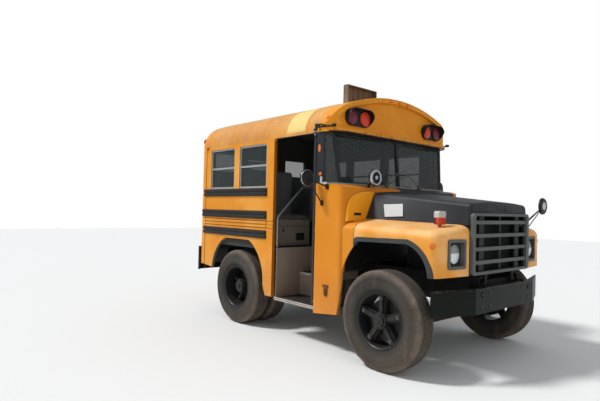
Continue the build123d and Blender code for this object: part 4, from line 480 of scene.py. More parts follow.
looks = {
    "body_yellow": {"color": (0.72, 0.255, 0.008), "faded": (0.88, 0.43, 0.085), "fade": 0.55, "dirt": 0.40,
                    "dirtHeight": 1.2, "rust": 0.08, "rough": 0.42, "coat": 0.06, "bump": 0.10},
    "fender_yellow": {"color": (0.74, 0.275, 0.013), "faded": (0.90, 0.54, 0.23), "fade": 0.8, "dirt": 0.16,
                      "dirtHeight": 1.25, "rust": 0.14, "rough": 0.45, "bump": 0.12},
    "hood_black": {"color": (0.014, 0.015, 0.019), "faded": (0.040, 0.043, 0.050), "fade": 0.8, "dirt": 0.05,
                   "rough": 0.50, "rust": 0.04},
    "rail_black": {"color": (0.013, 0.013, 0.013), "faded": (0.035, 0.035, 0.033), "dirt": 0.2, "rough": 0.42},
    "frame_black": {"color": (0.012, 0.011, 0.010), "dirt": 0.35, "dirtTone": (0.10, 0.08, 0.06), "rust": 0.3,
                    "rough": 0.7},
    "bumper_black": {"color": (0.0035, 0.005, 0.0038), "faded": (0.010, 0.012, 0.009), "dirt": 0.07,
                     "gloss": 0.12, "rust": 0.05, "rough": 0.42, "dirtTone": (0.05, 0.046, 0.038)},
    "running_gear": {"color": (0.022, 0.018, 0.015), "dirt": 0.5, "rust": 0.45, "rough": 0.8,
                     "dirtTone": (0.12, 0.09, 0.065)},
    "cast_grey": {"color": (0.03, 0.03, 0.032), "dirt": 0.5, "rust": 0.3, "rough": 0.7},
    "radiator_black": {"color": (0.006, 0.006, 0.006), "dirt": 0.1, "rough": 0.85},
    "exhaust_steel": {"color": (0.13, 0.085, 0.06), "metal": 0.4, "rust": 0.9, "rough": 0.75},
    "tank_steel": {"color": (0.018, 0.018, 0.018), "dirt": 0.6, "rust": 0.25, "rough": 0.6},
    "floor_grey": {"color": (0.045, 0.045, 0.045), "dirt": 0.4, "rough": 0.8, "rust": 0.1,
                   "dirtTone": (0.14, 0.11, 0.08)},
    "step_beige": {"color": (0.30, 0.225, 0.17), "faded": (0.38, 0.30, 0.235), "dirt": 0.4, "rust": 0.28,
                   "rough": 0.6, "dirtTone": (0.13, 0.10, 0.075)},
    "grille_grey": {"color": (0.088, 0.092, 0.088), "faded": (0.15, 0.155, 0.15), "dirt": 0.15, "rough": 0.55},
    "flare_grey": {"color": (0.042, 0.047, 0.046), "faded": (0.085, 0.092, 0.092), "dirt": 0.1, "rough": 0.75},
    "mirror_black": {"color": (0.012, 0.012, 0.012), "dirt": 0.15, "rough": 0.35, "rust": 0.1},
    "door_dark": {"color": (0.028, 0.029, 0.034), "faded": (0.045, 0.047, 0.053), "dirt": 0.15, "rough": 0.5},
    "sash_silver": {"color": (0.42, 0.43, 0.43), "faded": (0.52, 0.52, 0.52), "metal": 0.6, "dirt": 0.25,
                    "rough": 0.42},
    "box_wood": {"color": (0.15, 0.10, 0.06), "faded": (0.26, 0.20, 0.135), "fade": 0.9, "dirt": 0.3,
                 "rough": 0.85, "bump": 0.5},
    "dash_black": {"color": (0.018, 0.018, 0.018), "dirt": 0.2, "rough": 0.6},
    "heater_beige": {"color": (0.20, 0.17, 0.125), "faded": (0.27, 0.24, 0.185), "dirt": 0.3, "rust": 0.12,
                     "rough": 0.55},
    "rail_steel": {"color": (0.42, 0.42, 0.40), "metal": 0.8, "rough": 0.34, "dirt": 0.2},
    "seat_vinyl": {"color": (0.20, 0.215, 0.21), "faded": (0.36, 0.375, 0.365), "fade": 0.7, "dirt": 0.15,
                   "rough": 0.45, "bump": 0.35},
    "seat_steel": {"color": (0.025, 0.025, 0.025), "rough": 0.5, "rust": 0.1},
    "arm_red": {"color": (0.42, 0.02, 0.015), "faded": (0.55, 0.10, 0.07), "rough": 0.4},
    "tyre": {"color": (0.026, 0.025, 0.024), "faded": (0.060, 0.054, 0.048), "fade": 1.0, "dirt": 0.6,
             "dirtHeight": 1.5, "dirtTone": (0.110, 0.084, 0.062), "rough": 0.85, "bump": 0.4},
    "rim_black": {"color": (0.012, 0.012, 0.013), "faded": (0.030, 0.030, 0.030), "dirt": 0.22, "rust": 0.08,
                  "dirtHeight": 1.2, "dirtTone": (0.075, 0.065, 0.055), "rough": 0.38},
    # Trim that only this script adds
    "chrome": {"color": (0.50, 0.51, 0.54), "metal": 1.0, "rough": 0.2, "dirt": 0.2},
    "mirrorFace": {"color": (0.60, 0.63, 0.68), "metal": 1.0, "rough": 0.07, "dirt": 0.05},
    "rubber": {"color": (0.012, 0.012, 0.012), "faded": (0.03, 0.03, 0.03), "rough": 0.8, "dirt": 0.15},
    "blackPaint": {"color": (0.020, 0.022, 0.028), "faded": (0.032, 0.034, 0.042), "rough": 0.45, "dirt": 0.15},
    "whitePaint": {"color": (0.50, 0.48, 0.45), "faded": (0.62, 0.60, 0.57), "dirt": 0.5, "rust": 0.25,
                   "rough": 0.55, "dirtTone": (0.16, 0.13, 0.11)},
    "blankWhite": {"color": (0.52, 0.53, 0.53), "faded": (0.62, 0.63, 0.63), "dirt": 0.1, "rough": 0.5},
    # painted shade: near-black for the dark engine bay seen through the grille
    "shadeHoleBlack": {"color": (0.004, 0.004, 0.004), "dirt": 0.02, "rough": 0.9},
    "rustySteel": {"color": (0.10, 0.060, 0.040), "rust": 0.8, "rough": 0.8, "metal": 0.3},
    "studSteel": {"color": (0.085, 0.083, 0.080), "rust": 0.25, "rough": 0.5, "metal": 0.6, "dirt": 0.2},
    "seamPaint": {"color": (0.42, 0.16, 0.012), "faded": (0.55, 0.26, 0.05), "dirt": 0.4, "rust": 0.2},
    "sillPaint": {"color": (0.25, 0.24, 0.21), "faded": (0.36, 0.35, 0.32), "dirt": 0.3, "rough": 0.6},
    "wiperMetal": {"color": (0.085, 0.088, 0.085), "faded": (0.14, 0.145, 0.14), "dirt": 0.2, "rough": 0.5},
    # painted light: brighter yellow on the cowl cheeks so that they read as sunlit
    "cheekPaintedLight": {"color": (0.90, 0.345, 0.010), "faded": (0.95, 0.46, 0.05), "dirt": 0.1, "rust": 0.04,
                   "rough": 0.42},
    "badgePaint": {"color": (0.016, 0.016, 0.017), "faded": (0.04, 0.04, 0.04), "dirt": 0.2, "rough": 0.5},
    "finMetal": {"color": (0.020, 0.020, 0.019), "dirt": 0.2, "rough": 0.7},
}
materials = {name: makeMaterial(name, look) for name, look in looks.items()}
materials["window_pane"] = makeGlass("window_pane", (0.030, 0.043, 0.040), 0.52)


def recolor(material, change):
    # Puts change(tree, colour before) in front of the base colour
    tree = material.node_tree
    socket = tree.nodes["Principled BSDF"].inputs["Base Color"]
    before = socket.links[0].from_socket if socket.links else tuple(socket.default_value)
    tree.links.new(change(tree, before), socket)


def maskBox(tree, place, low, high, soft):
    # 1 inside a box of the object's own coordinates; None leaves an axis open
    axes = splitAxes(tree, place)
    share = 1.0
    for axis in range(3):
        for edge, start, end in ((low[axis], 0.0, 1.0), (high[axis], 1.0, 0.0)):
            if edge is not None:
                inside = addRange(tree, axes[axis], edge - soft, edge + soft, start, end)
                share = addMath(tree, "MULTIPLY", inside, share)
    return share


def paintOver(material, low, high, tone, soft=0.002, ragged=0.0):
    # Lays a second colour over a box-shaped part of a finished material
    def change(tree, before):
        place = objectPlace(tree)
        share = maskBox(tree, place, low, high, soft)
        if ragged:
            spots = addNoise(tree, place, 14, 8, 0.7)
            share = addMath(tree, "MULTIPLY", share, addRange(tree, spots, 0.62 - ragged, 0.72 - ragged))
        return addMix(tree, share, before, (*tone, 1))

    recolor(material, change)


def makeLiner():
    # Dark inner skin: faces turned towards a line along the middle of the body
    group, given = newGroup(
        "liner",
        (
            ("Color", "Color", (0.8, 0.4, 0.05, 1)),
            ("Liner", "Color", (0.03, 0.035, 0.03, 1)),
            ("Centre Height", "Float", 1.9),
            ("Front Limit", "Float", 3.0),
        ),
        (("Color", "Color"),),
    )
    place = splitAxes(group, objectPlace(group))
    facing = faceNormal(group)
    across = addMath(group, "MULTIPLY", facing["Y"], place["Y"])
    rise = addMath(group, "SUBTRACT", place["Z"], given["Centre Height"])
    upward = addMath(group, "MULTIPLY", facing["Z"], rise)
    ahead = addMath(group, "MULTIPLY", facing["X"], addMath(group, "ADD", place["X"], 0.3))
    total = addMath(group, "ADD", addMath(group, "ADD", across, upward), ahead)
    behind = addMath(group, "LESS_THAN", place["X"], given["Front Limit"])
    share = addMath(group, "MULTIPLY", addRange(group, total, -0.16, -0.10, 1.0, 0.0), behind)
    addNode(group, "NodeGroupOutput", {"Color": addMix(group, share, given["Color"], given["Liner"])})
    return group


liner = makeLiner()


def lineInside(material, tone, centreHeight, frontLimit=3.0):
    recolor(material, lambda tree, before: addNode(tree, "ShaderNodeGroup", {
        "Color": before, "Liner": (*tone, 1), "Centre Height": centreHeight, "Front Limit": frontLimit,
    }, node_tree=liner).outputs["Color"])


# Panels with more than one paint: node, its material, the look it starts from, what differs
# from that look, and the painted areas as low corner, high corner, tone, softness, raggedness
anywhere = (None, None, None)
coats = (
    ("front_cap", "cap_yellow", "body_yellow",
     {"color": (0.72, 0.245, 0.003), "faded": (0.88, 0.39, 0.03), "fade": 0.5, "dirt": 0.12}, (
         ((0.45, None, 1.985), (None, None, 2.599), (0.014, 0.016, 0.015)),
         ((0.30, None, 2.596), (None, None, 2.650), (0.16, 0.055, 0.018), 0.006, 0.10),
         # dark orange-brown band along the cap's lower front edge: painted shade under the overhang
         ((0.66, None, 2.560), (None, None, 2.612), (0.045, 0.022, 0.012), 0.006))),
    ("roof", "roof_yellow", "body_yellow", {"fade": 0.85, "dirtHeight": 0.2}, (
        ((-0.09, -1.22, 2.64), (0.26, -0.30, 3.2), (0.80, 0.60, 0.21), 0.012),
        ((None, None, 2.59), (None, None, 2.625), (0.30, 0.12, 0.03), 0.006, 0.02))),
    ("grille", "grille_bars", "grille_grey", {}, (
        ((None, -0.640, 0.9), (2.181, 0.640, 1.70), (0.016, 0.016, 0.015)),
        ((None, None, 0.8), (None, None, 1.030), (0.010, 0.010, 0.010)),
        ((None, -0.942, 1.134), (2.128, -0.728, 1.374), (0.055, 0.052, 0.036)),
        ((None, 0.728, 1.134), (2.128, 0.942, 1.374), (0.055, 0.052, 0.036)))),
    ("bumpers", "bumper_paint", "bumper_black", {}, (
        ((1.9, None, 0.884), anywhere, (0.050, 0.050, 0.046), 0.008, 0.10),
        ((1.9, None, 0.640), (None, None, 0.664), (0.030, 0.029, 0.025), 0.008, 0.05))),
    ("right_wall", "wall_yellow", "body_yellow", {}, (
        ((-0.345, -1.30, 0.49), (-0.290, 1.3, 2.57), (0.42, 0.12, 0.010), 0.004),)),
    ("cowl", "cowl_yellow", "body_yellow", {"color": (0.66, 0.215, 0.004), "fade": 0.15, "dirt": 0.22}, (
        ((None, None, 0.3), (None, None, 0.56), (0.30, 0.14, 0.05), 0.08, 0.03),
        ((None, None, 1.985), anywhere, (0.014, 0.016, 0.015)),
        ((0.80, -0.15, 1.90), (None, 1.10, 1.984), (0.036, 0.037, 0.042)),
        ((0.900, -1.150, 0.30), (None, 1.150, 1.50), (0.012, 0.012, 0.011)))),
    ("fenders", "fender_paint", "fender_yellow", {}, ()),
    ("left_wall", "left_yellow", "body_yellow", {}, ()),
    ("rear_wall", "rear_yellow", "body_yellow", {}, ()),
)
coverings = {}
for nodeName, name, base, changes, areas in coats:
    coverings[nodeName] = makeMaterial(name, {**looks[base], **changes})
    for area in areas:
        paintOver(coverings[nodeName], *area)
# Thin dark lines beside and between the wall ribs: painted shade in the creases
ribShadeLines = {"tone": (0.22, 0.065, 0.006), "soft": 0.003,
            "levels": ((1.398, 1.408), (1.447, 1.453), (1.493, 1.503))}
for foot, head in ribShadeLines["levels"]:
    for nodeName in ("right_wall", "left_wall"):
        paintOver(coverings[nodeName], (None, None, foot), (None, None, head), ribShadeLines["tone"], ribShadeLines["soft"])
cabinLiner = {"tone": (0.100, 0.108, 0.088), "centreHeight": 1.9}
for nodeName in ("roof", "right_wall", "left_wall", "rear_wall", "cowl"):
    lineInside(coverings[nodeName], **cabinLiner)
lineInside(coverings["front_cap"], **cabinLiner, frontLimit=0.66)
lineInside(coverings["fenders"], (0.012, 0.012, 0.011), 1.0)

# Lamp lenses: colour, glow and tones over parts of them, as in coats
lenses = {
    "lamp_red": ((0.42, 0.022, 0.014), 0.0, (
        # in each front pair the inner lens is painted sunlit and the outer one painted dark as shade under its
        # visor
        ((0.55, -0.776, 2.65), (1.0, 0.776, 3.0), (0.62, 0.040, 0.014)),
        ((0.55, -1.10, 2.65), (1.0, -0.776, 3.0), (0.15, 0.008, 0.022)),
        ((0.55, 0.776, 2.65), (1.0, 1.10, 3.0), (0.15, 0.008, 0.022)))),
    "headlamp_lens": ((0.66, 0.70, 0.74), 0.04, (
        # grey in its upper half
        ((None, None, 1.262), anywhere, (0.20, 0.215, 0.20), 0.006),)),
    "lamp_amber": ((0.70, 0.16, 0.015), 0.08, ()),
    "signal_lens": ((0.70, 0.16, 0.015), 0.0, (
        # red below, dark on its rear side, clear above
        ((None, None, 1.50), (None, None, 1.619), (0.55, 0.055, 0.02), 0.003),
        ((None, None, 1.50), (1.976, None, 1.619), (0.10, 0.008, 0.006), 0.004),
        ((None, None, 1.619), anywhere, (0.52, 0.50, 0.48), 0.003))),
}
for name, (color, glow, areas) in lenses.items():
    materials[name] = makeLens(name, color, glow)
    for area in areas:
        paintOver(materials[name], *area)
materials["lamp_clear"] = materials["headlamp_lens"]
coverings["fender_lamps"] = materials["signal_lens"]

slotOf = {entry["node"]: entry["material_slot"] for entry in frame["record"]["subparts"]}
for nodeName, item in nodes.items():
    wanted = coverings.get(nodeName, materials[slotOf[nodeName]])
    for index in range(max(1, len(item.material_slots))):
        if not item.material_slots:
            item.data.materials.append(wanted)
        item.material_slots[index].material = wanted
print("stage: materials")

# Tyres: rounded sidewalls with moulded rings, ribbed tread with zigzag grooves
hubZ = 0.527
wheels = {
    # the faces are distances from the middle plane; studs: count, circle, face, share of a step turned
    "front": {"x": 1.515, "tyreY": (1.136,), "ribFace": 1.222, "capFace": 1.262, "capRise": 0.010,
              "studs": ((10, 0.074, 1.240, 0.5), (8, 0.050, 1.260, 0.0))},
    "rear": {"x": -1.190, "tyreY": (1.086, 0.756), "ribFace": 1.036, "capFace": 1.148, "capRise": 0.02,
             "studs": ((10, 0.092, 1.125, 0.5),)},
}
hands = ((-1, "right"), (1, "left"))
tyre = {
    "steps": 120, "zigzag": 0.0035, "flatFrom": 0.5,
    "bead": (0.300, 0.390), "shoulder": (0.440, 0.520), "treadEdge": (0.518, 0.526),
    "dark": (0.030, 0.031, 0.029), "dust": (0.185, 0.142, 0.112),
    "sidewall": (
        # offset from the tyre's middle, radius
        (0.1035, 0.2872), (0.1110, 0.2980), (0.1195, 0.3100), (0.1270, 0.3270), (0.1290, 0.3290),
        (0.1300, 0.3340), (0.1340, 0.3560), (0.1375, 0.3800), (0.1385, 0.4000), (0.1380, 0.4200),
        (0.1360, 0.4400), (0.1372, 0.4420), (0.1362, 0.4470), (0.1315, 0.4680), (0.1250, 0.4880),
        (0.1165, 0.5030), (0.1060, 0.5140), (0.0960, 0.5205), (0.0880, 0.5245),
    ),
    "tread": (
        # offset, radius, 1 where the edge runs zigzag
        (0.0640, 0.5262, 1), (0.0622, 0.5150, 1), (0.0540, 0.5150, 1), (0.0522, 0.5266, 1),
        (0.0270, 0.5269, 1), (0.0252, 0.5150, 1), (0.0170, 0.5150, 1), (0.0152, 0.5270, 1),
    ),
}
tyreProfile = [(offset, radius, 0) for offset, radius in tyre["sidewall"]] + list(tyre["tread"])
tyreProfile += [(-offset, radius, zig) for offset, radius, zig in reversed(tyreProfile)]


def zigzagShift(step, index):
    return tyre["zigzag"] * (1 if step % 2 else -1) * tyreProfile[index][2]


def makeTyrePaint(name, wheelX):
    # Dark beside the rim, brown road dust towards the shoulder
    def change(tree, before):
        place = objectPlace(tree)
        axes = splitAxes(tree, place)
        across = addMath(tree, "SUBTRACT", axes["X"], wheelX)
        rise = addMath(tree, "SUBTRACT", axes["Z"], hubZ)
        squares = [addMath(tree, "MULTIPLY", length, length) for length in (across, rise)]
        radial = addMath(tree, "SQRT", addMath(tree, "ADD", *squares))
        outer = addMath(tree, "MULTIPLY", addRange(tree, radial, *tyre["shoulder"]),
                        addRange(tree, radial, *tyre["treadEdge"], 1.0, 0.25))
        patches = addRange(tree, addNoise(tree, place, 6, 6, 0.65), 0.35, 0.70, 0.35, 1.0)
        dusty = addMix(tree, addMath(tree, "MULTIPLY", outer, patches), before, (*tyre["dust"], 1))
        return addMix(tree, addRange(tree, radial, *tyre["bead"], 0.85, 0.0), dusty, (*tyre["dark"], 1))

    material = makeMaterial(name, looks["tyre"])
    recolor(material, change)
    return material


for axle, wheel in wheels.items():
    materials["tyre_" + axle] = makeTyrePaint("tyre_" + axle, wheel["x"])
    for side, hand in hands:
        def buildTyre(bm):
            for offset in wheel["tyreY"]:
                addLathe(bm, [(along, radius) for along, radius, zig in tyreProfile],
                         (wheel["x"], side * offset, hubZ), (0, 1, 0), tyre["steps"], zigzagShift, closed=True)

        node = axle + "_tyre_" + hand
        piece = meshFrom("tread_" + node, buildTyre, smooth=False)
        for polygon in piece.data.polygons:
            middle = polygon.center
            polygon.use_smooth = math.hypot(middle.x - wheel["x"], middle.z - hubZ) < tyre["flatFrom"]
        dress(piece, "tyre_" + axle, "wheel_" + axle + "_" + hand, (node,))
print("stage: tyres")

# Wheel nuts, hub studs and the clamps at the spoke ends
wheelFit = {
    "spokes": 5, "nutCircle": 0.236, "nutRadius": 0.020, "nutHeight": 0.028, "studRadius": 0.0062,
    "studHeight": 0.010, "clampCircle": 0.260, "clampSize": (0.074, 0.034, 0.026), "clampDepth": 0.016,
    "capRadius": 0.034,
}
spokeAngles = [math.radians(90 + 360 / wheelFit["spokes"] * index) for index in range(wheelFit["spokes"])]


def wheelSpot(wheel, side, circle, angle, face):
    return (wheel["x"] + circle * math.cos(angle), side * face, hubZ + circle * math.sin(angle))


for axle, wheel in wheels.items():
    for side, hand in hands:
        def buildClamps(bm):
            for angle in spokeAngles:
                centre = wheelSpot(wheel, side, wheelFit["clampCircle"], angle,
                                   wheel["ribFace"] - wheelFit["clampDepth"])
                addBox(bm, centre, wheelFit["clampSize"], 0.005, Matrix.Rotation(math.pi / 2 - angle, 4, "Y"))
            addDome(bm, (wheel["x"], side * (wheel["capFace"] - 0.001), hubZ), (0, side, 0),
                    wheelFit["capRadius"], wheel["capRise"], 20)

        body = "wheel_" + axle + "_" + hand
        nuts = [wheelSpot(wheel, side, wheelFit["nutCircle"], angle, wheel["ribFace"]) for angle in spokeAngles]
        addRepeats("wheelNuts_" + body, nutTree, wheelFit["nutRadius"], wheelFit["nutHeight"],
                   [(spot, (0, side, 0)) for spot in nuts], "studSteel", body)
        studs = []
        for count, circle, face, turned in wheel["studs"]:
            for index in range(count):
                studs.append(wheelSpot(wheel, side, circle, 2 * math.pi * (index + turned) / count, face))
        addRepeats("hubStuds_" + body, nutTree, wheelFit["studRadius"], wheelFit["studHeight"],
                   [(spot, (0, side, 0)) for spot in studs], "studSteel", body)
        addPiece("wheelClamps_" + body, buildClamps, "rim_black", body, smooth=False)
print("stage: wheel hardware")

# Body rivets and seams
rivet = {"radius": 0.0055, "height": 0.0035, "pitch": 0.075, "seamHalf": 0.014}
walls = {
    "rear": -2.03, "frontEnd": {-1: -0.36, 1: 0.46}, "face": 1.219, "eaveRow": 2.585, "beltRow": 1.222,
    "archHalf": 0.62, "rearColumn": -2.045, "columnFoot": 0.72, "columnHead": 2.56,
}
seams = {"stations": (-1.98, -0.60, 0.30), "steps": 64, "radius": 0.0028, "sunk": 0.0015}
roofArcs = {
    # the crown takes this share of each half, the haunch with its sweep in degrees the rest
    "crownShare": 0.62, "crownZ": 0.48024, "crownRadius": 2.65976, "crownEndY": 0.97884,
    "haunchY": 0.839, "haunchZ": 2.6, "haunchRadius": 0.38, "haunchSweep": 68.5,
}
cornerSeam = {"tubes": ((((-2.07, 1.2185, 0.70), (-2.07, 1.2185, 1.2), (-2.07, 1.2185, 1.8),
                          (-2.07, 1.2185, 2.60)), 0.0045, 6),)}


def stepsBetween(low, high, pitch):
    while low < high:
        yield low
        low += pitch


def roofPoint(along):
    # Point and normal of the roof at a share from the right eave (0) to the left eave (1)
    half = abs(2 * along - 1)
    side = -1 if along < 0.5 else 1
    share = roofArcs["crownShare"]
    if half > share:
        angle = (1 - half) / (1 - share) * math.radians(roofArcs["haunchSweep"])
        y = roofArcs["haunchY"] + roofArcs["haunchRadius"] * math.cos(angle)
        z = roofArcs["haunchZ"] + roofArcs["haunchRadius"] * math.sin(angle)
        return (side * y, z), (side * math.cos(angle), math.sin(angle))
    angle = half / share * math.asin(roofArcs["crownEndY"] / roofArcs["crownRadius"])
    y = roofArcs["crownRadius"] * math.sin(angle)
    z = roofArcs["crownZ"] + roofArcs["crownRadius"] * math.cos(angle)
    return (side * y, z), (side * math.sin(angle), math.cos(angle))


rivetSpots = []
for side in (-1, 1):
    frontEnd = walls["frontEnd"][side]
    wallY = side * walls["face"]
    for level in (walls["eaveRow"], walls["beltRow"]):
        for x in stepsBetween(walls["rear"], frontEnd, rivet["pitch"]):
            overArch = abs(x - wheels["rear"]["x"]) <= walls["archHalf"]
            if not overArch or level == walls["eaveRow"]:
                rivetSpots.append(((x, wallY, level), (0, side, 0)))
    for column in (walls["rearColumn"], frontEnd + 0.02):
        for z in stepsBetween(walls["columnFoot"], walls["columnHead"], rivet["pitch"]):
            rivetSpots.append(((column, wallY, z), (0, side, 0)))
for station in seams["stations"]:
    for step in range(2, seams["steps"] - 1):
        (y, z), (ny, nz) = roofPoint(step / seams["steps"])
        for shift in (-rivet["seamHalf"], rivet["seamHalf"]):
            rivetSpots.append(((station + shift, y, z), (0, ny, nz)))
addRepeats("bodyRivets", rivetTree, rivet["radius"], rivet["height"], rivetSpots, "body_yellow", "bus")


def buildSeams(bm):
    for station in seams["stations"]:
        points = []
        for step in range(seams["steps"] + 1):
            (y, z), (ny, nz) = roofPoint(step / seams["steps"])
            points.append((station, y - ny * seams["sunk"], z - nz * seams["sunk"]))
        addTube(bm, points, seams["radius"], 6)


addPiece("roofSeams", buildSeams, "seamPaint")
addPiece("cornerSeams", fittings(cornerSeam), "rubber")
print("stage: rivets and seams")

# Black pillar panels beside the windshield, with their oval lamps and the corner brackets
pillar = {
    "rearX": 0.486, "frontFoot": 0.618, "frontHead": 0.598, "lowZ": 1.985, "highZ": 2.597, "face": 1.2192,
    "thickness": 0.0012, "ovalX": 0.532, "ovalZ": 2.405, "ovalRadius": 0.046, "ovalRise": 0.010,
}
cornerMarker = {
    "axis": (0.25, 0.80, 0.55), "place": (0.628, 1.163, 2.772), "sunk": 0.004,
    "profile": ((0.0, 0.036), (0.010, 0.034), (0.020, 0.026), (0.027, 0.014), (0.029, 0.0)),
}
cornerBrackets = {
    "boxes": (((0.500, 1.2305, 2.664), (0.075, 0.020, 0.070), 0.004),
              ((0.745, 1.195, 2.664), (0.05, 0.030, 0.034), 0.004)),
    "tubes": ((((0.44, 1.2305, 2.636), (0.52, 1.2365, 2.655), (0.64, 1.228, 2.662), (0.735, 1.205, 2.657)),
               0.011, 10),
              (((0.46, 1.2305, 2.700), (0.56, 1.226, 2.690), (0.63, 1.224, 2.672)), 0.008, 8)),
}
cornerHook = {
    "boxes": (((0.452, 1.224, 2.600), (0.020, 0.012, 0.062), 0.003),),
    "tubes": ((((0.452, 1.231, 2.626), (0.440, 1.233, 2.612), (0.452, 1.234, 2.580)), 0.004, 8),),
}


def buildPillars(bm):
    for side in (-1, 1):
        y = side * pillar["face"]
        ring = [
            (pillar["rearX"], y, pillar["lowZ"]), (pillar["frontFoot"], y, pillar["lowZ"]),
            (pillar["frontHead"], y, pillar["highZ"]), (pillar["rearX"], y, pillar["highZ"]),
        ]
        addPlate(bm, ring if side < 0 else list(reversed(ring)), pillar["thickness"])


def buildOvals(bm):
    for side in (-1, 1):
        before = set(bm.verts)
        addDome(bm, (0, 0, 0), (0, side, 0), pillar["ovalRadius"], pillar["ovalRise"], 24, 6)
        for vert in set(bm.verts) - before:
            vert.co.x = pillar["ovalX"] + vert.co.x * 0.5
            vert.co.y += side * (pillar["face"] + 0.001)
            vert.co.z += pillar["ovalZ"]


def markersFrom(marker):
    # Builder of a round lamp on each body corner, its foot sunk into the panel
    def build(bm):
        for side in (-1, 1):
            axis = Vector((marker["axis"][0], side * marker["axis"][1], marker["axis"][2])).normalized()
            place = Vector((marker["place"][0], side * marker["place"][1], marker["place"][2]))
            addLathe(bm, marker["profile"], place - axis * marker["sunk"], axis, 18)

    return build


addPiece("pillarPanels", buildPillars, "blackPaint", smooth=False)
addPiece("pillarMarkers", buildOvals, "lamp_amber")
addPiece("cornerMarkers", markersFrom(cornerMarker), "lamp_amber")
addPiece("cornerBrackets", fittings(cornerBrackets), "rubber", smooth=False)
addPiece("cornerHook", fittings(cornerHook, (-1,)), "chrome", smooth=False)
print("stage: front corners")

# Windshield: sill strip and wipers
windshieldSill = {"tubes": ((((0.626, 1.200, 1.982), (0.746, 1.056, 1.982), (0.801, 0.0, 1.982)), 0.013, 8),)}
wipers = {
    "armRadius": 0.0048, "bladeRadius": 0.0055, "bladeX": (0.832, 0.834, 0.832),
    "bladeY": (-0.16, 0.0, 0.15), "bladeZ": (-0.055, 0.004, 0.035), "footZ": 1.985,
    "footSize": (0.036, 0.040, 0.050),
    "arms": (
        ((0.838, -0.31, 2.004), (0.846, -0.20, 2.060), (0.838, -0.09, 2.165)),
        ((0.838, 0.385, 2.004), (0.846, 0.26, 2.050), (0.838, 0.13, 2.150)),
    ),
}


def buildWipers(bm):
    for arm in wipers["arms"]:
        foot, tip = arm[0], arm[-1]
        addTube(bm, arm, wipers["armRadius"])
        blade = [(x, tip[1] + y, tip[2] + z)
                 for x, y, z in zip(wipers["bladeX"], wipers["bladeY"], wipers["bladeZ"])]
        addTube(bm, blade, wipers["bladeRadius"])
        addBox(bm, (foot[0] - 0.004, foot[1], wipers["footZ"]), wipers["footSize"], 0.006)


addPiece("windshieldSill", fittings(windshieldSill), "sillPaint")
addPiece("wipers", buildWipers, "wiperMetal")
print("stage: windshield")

# Mirrors: rims, reflecting faces, and the clamps beside the windshield
mirrors = {
    "side": (0.500, 1.380, 2.040), "sideRadius": 0.100, "sideHalf": 0.018,
    "deck": (0.985, -0.720, 2.063), "deckHalf": 0.017,
    "fender": (2.140, 1.205, 1.780), "fenderRadius": 0.106, "fenderHalf": 0.015,
}
mirrorClamps = {"boxes": (((0.578, 1.2245, 2.022), (0.034, 0.012, 0.086), 0.004),
                          ((0.640, 1.2260, 1.985), (0.070, 0.014, 0.026), 0.004))}
forwardAxis, rearAxis = (1, 0, 0), (-1, 0, 0)


def addRim(bm, centre, radius, along, tube):
    addLathe(bm, ovalProfile(along, radius - tube, tube, tube, 8), centre, forwardAxis, 48, closed=True)


def sideMirrorCentre(side):
    x, y, z = mirrors["side"]
    return (x, side * y, z)


def buildSideRims(bm):
    for side in (-1, 1):
        addRim(bm, sideMirrorCentre(side), mirrors["sideRadius"], -mirrors["sideHalf"] + 0.006, 0.006)
        addRim(bm, sideMirrorCentre(side), mirrors["sideRadius"], mirrors["sideHalf"] - 0.012, 0.0045)


def buildSideFaces(bm):
    for side in (-1, 1):
        x, y, z = sideMirrorCentre(side)
        centre = (x - mirrors["sideHalf"] - 0.0005, y, z)
        addLathe(bm, [(0.0015, 0.0), (0.0012, 0.04), (0.0, 0.092)], centre, rearAxis, 40)


def discOn(mirror, axis, half, profile, sides):
    # Builder of a turned disc, its profile measured from the face of a mirror
    turned = [(half + rise, radius) for rise, radius in profile]
    return lambda bm: addLathe(bm, turned, mirrors[mirror], axis, sides)


def buildDeckHub(bm):
    x, y, z = mirrors["deck"]
    addDome(bm, (x + mirrors["deckHalf"], y + 0.004, z + 0.004), forwardAxis, 0.024, 0.014, 18, 4)


def buildFenderFace(bm):
    discOn("fender", rearAxis, mirrors["fenderHalf"], ((0.0005, 0.098), (0.003, 0.06), (0.004, 0.0)), 40)(bm)
    addRim(bm, mirrors["fender"], mirrors["fenderRadius"], -mirrors["fenderHalf"] + 0.006, 0.006)


deckRim = ((-0.012, 0.1025), (-0.002, 0.1000), (0.006, 0.092), (0.004, 0.072), (0.001, 0.068))
deckDish = ((0.0015, 0.070), (0.0005, 0.045), (0.0005, 0.020), (0.0005, 0.0))
fenderBack = ((0.0002, 0.050), (0.004, 0.036), (0.006, 0.0))
addPiece("sideMirrorRims", buildSideRims, "chrome")
addPiece("sideMirrorFaces", buildSideFaces, "mirrorFace")
addPiece("deckMirrorRim", discOn("deck", forwardAxis, mirrors["deckHalf"], deckRim, 48), "chrome")
addPiece("deckMirrorDish", discOn("deck", forwardAxis, mirrors["deckHalf"], deckDish, 40), "rubber")
addPiece("deckMirrorHub", buildDeckHub, "blankWhite")
addPiece("fenderMirrorFace", buildFenderFace, "mirrorFace", "tilt_hood")
addPiece("fenderMirrorBack", discOn("fender", forwardAxis, mirrors["fenderHalf"], fenderBack, 30), "blankWhite",
         "tilt_hood")
addPiece("mirrorClamps", fittings(mirrorClamps), "whitePaint", smooth=False)
print("stage: mirrors")

# Headlamp rings
lampRing = {"place": (2.1135, 0.835, 1.254), "radius": 0.1015, "halfDepth": 0.010, "halfWidth": 0.0045}


def buildLampRings(bm):
    x, y, z = lampRing["place"]
    halfDepth = lampRing["halfDepth"]
    profile = ovalProfile(halfDepth, lampRing["radius"], halfDepth, lampRing["halfWidth"], 10)
    for side in (-1, 1):
        addLathe(bm, profile, (x, side * y, z), forwardAxis, 56, closed=True)


addPiece("headlampRings", buildLampRings, "rubber", "tilt_hood")

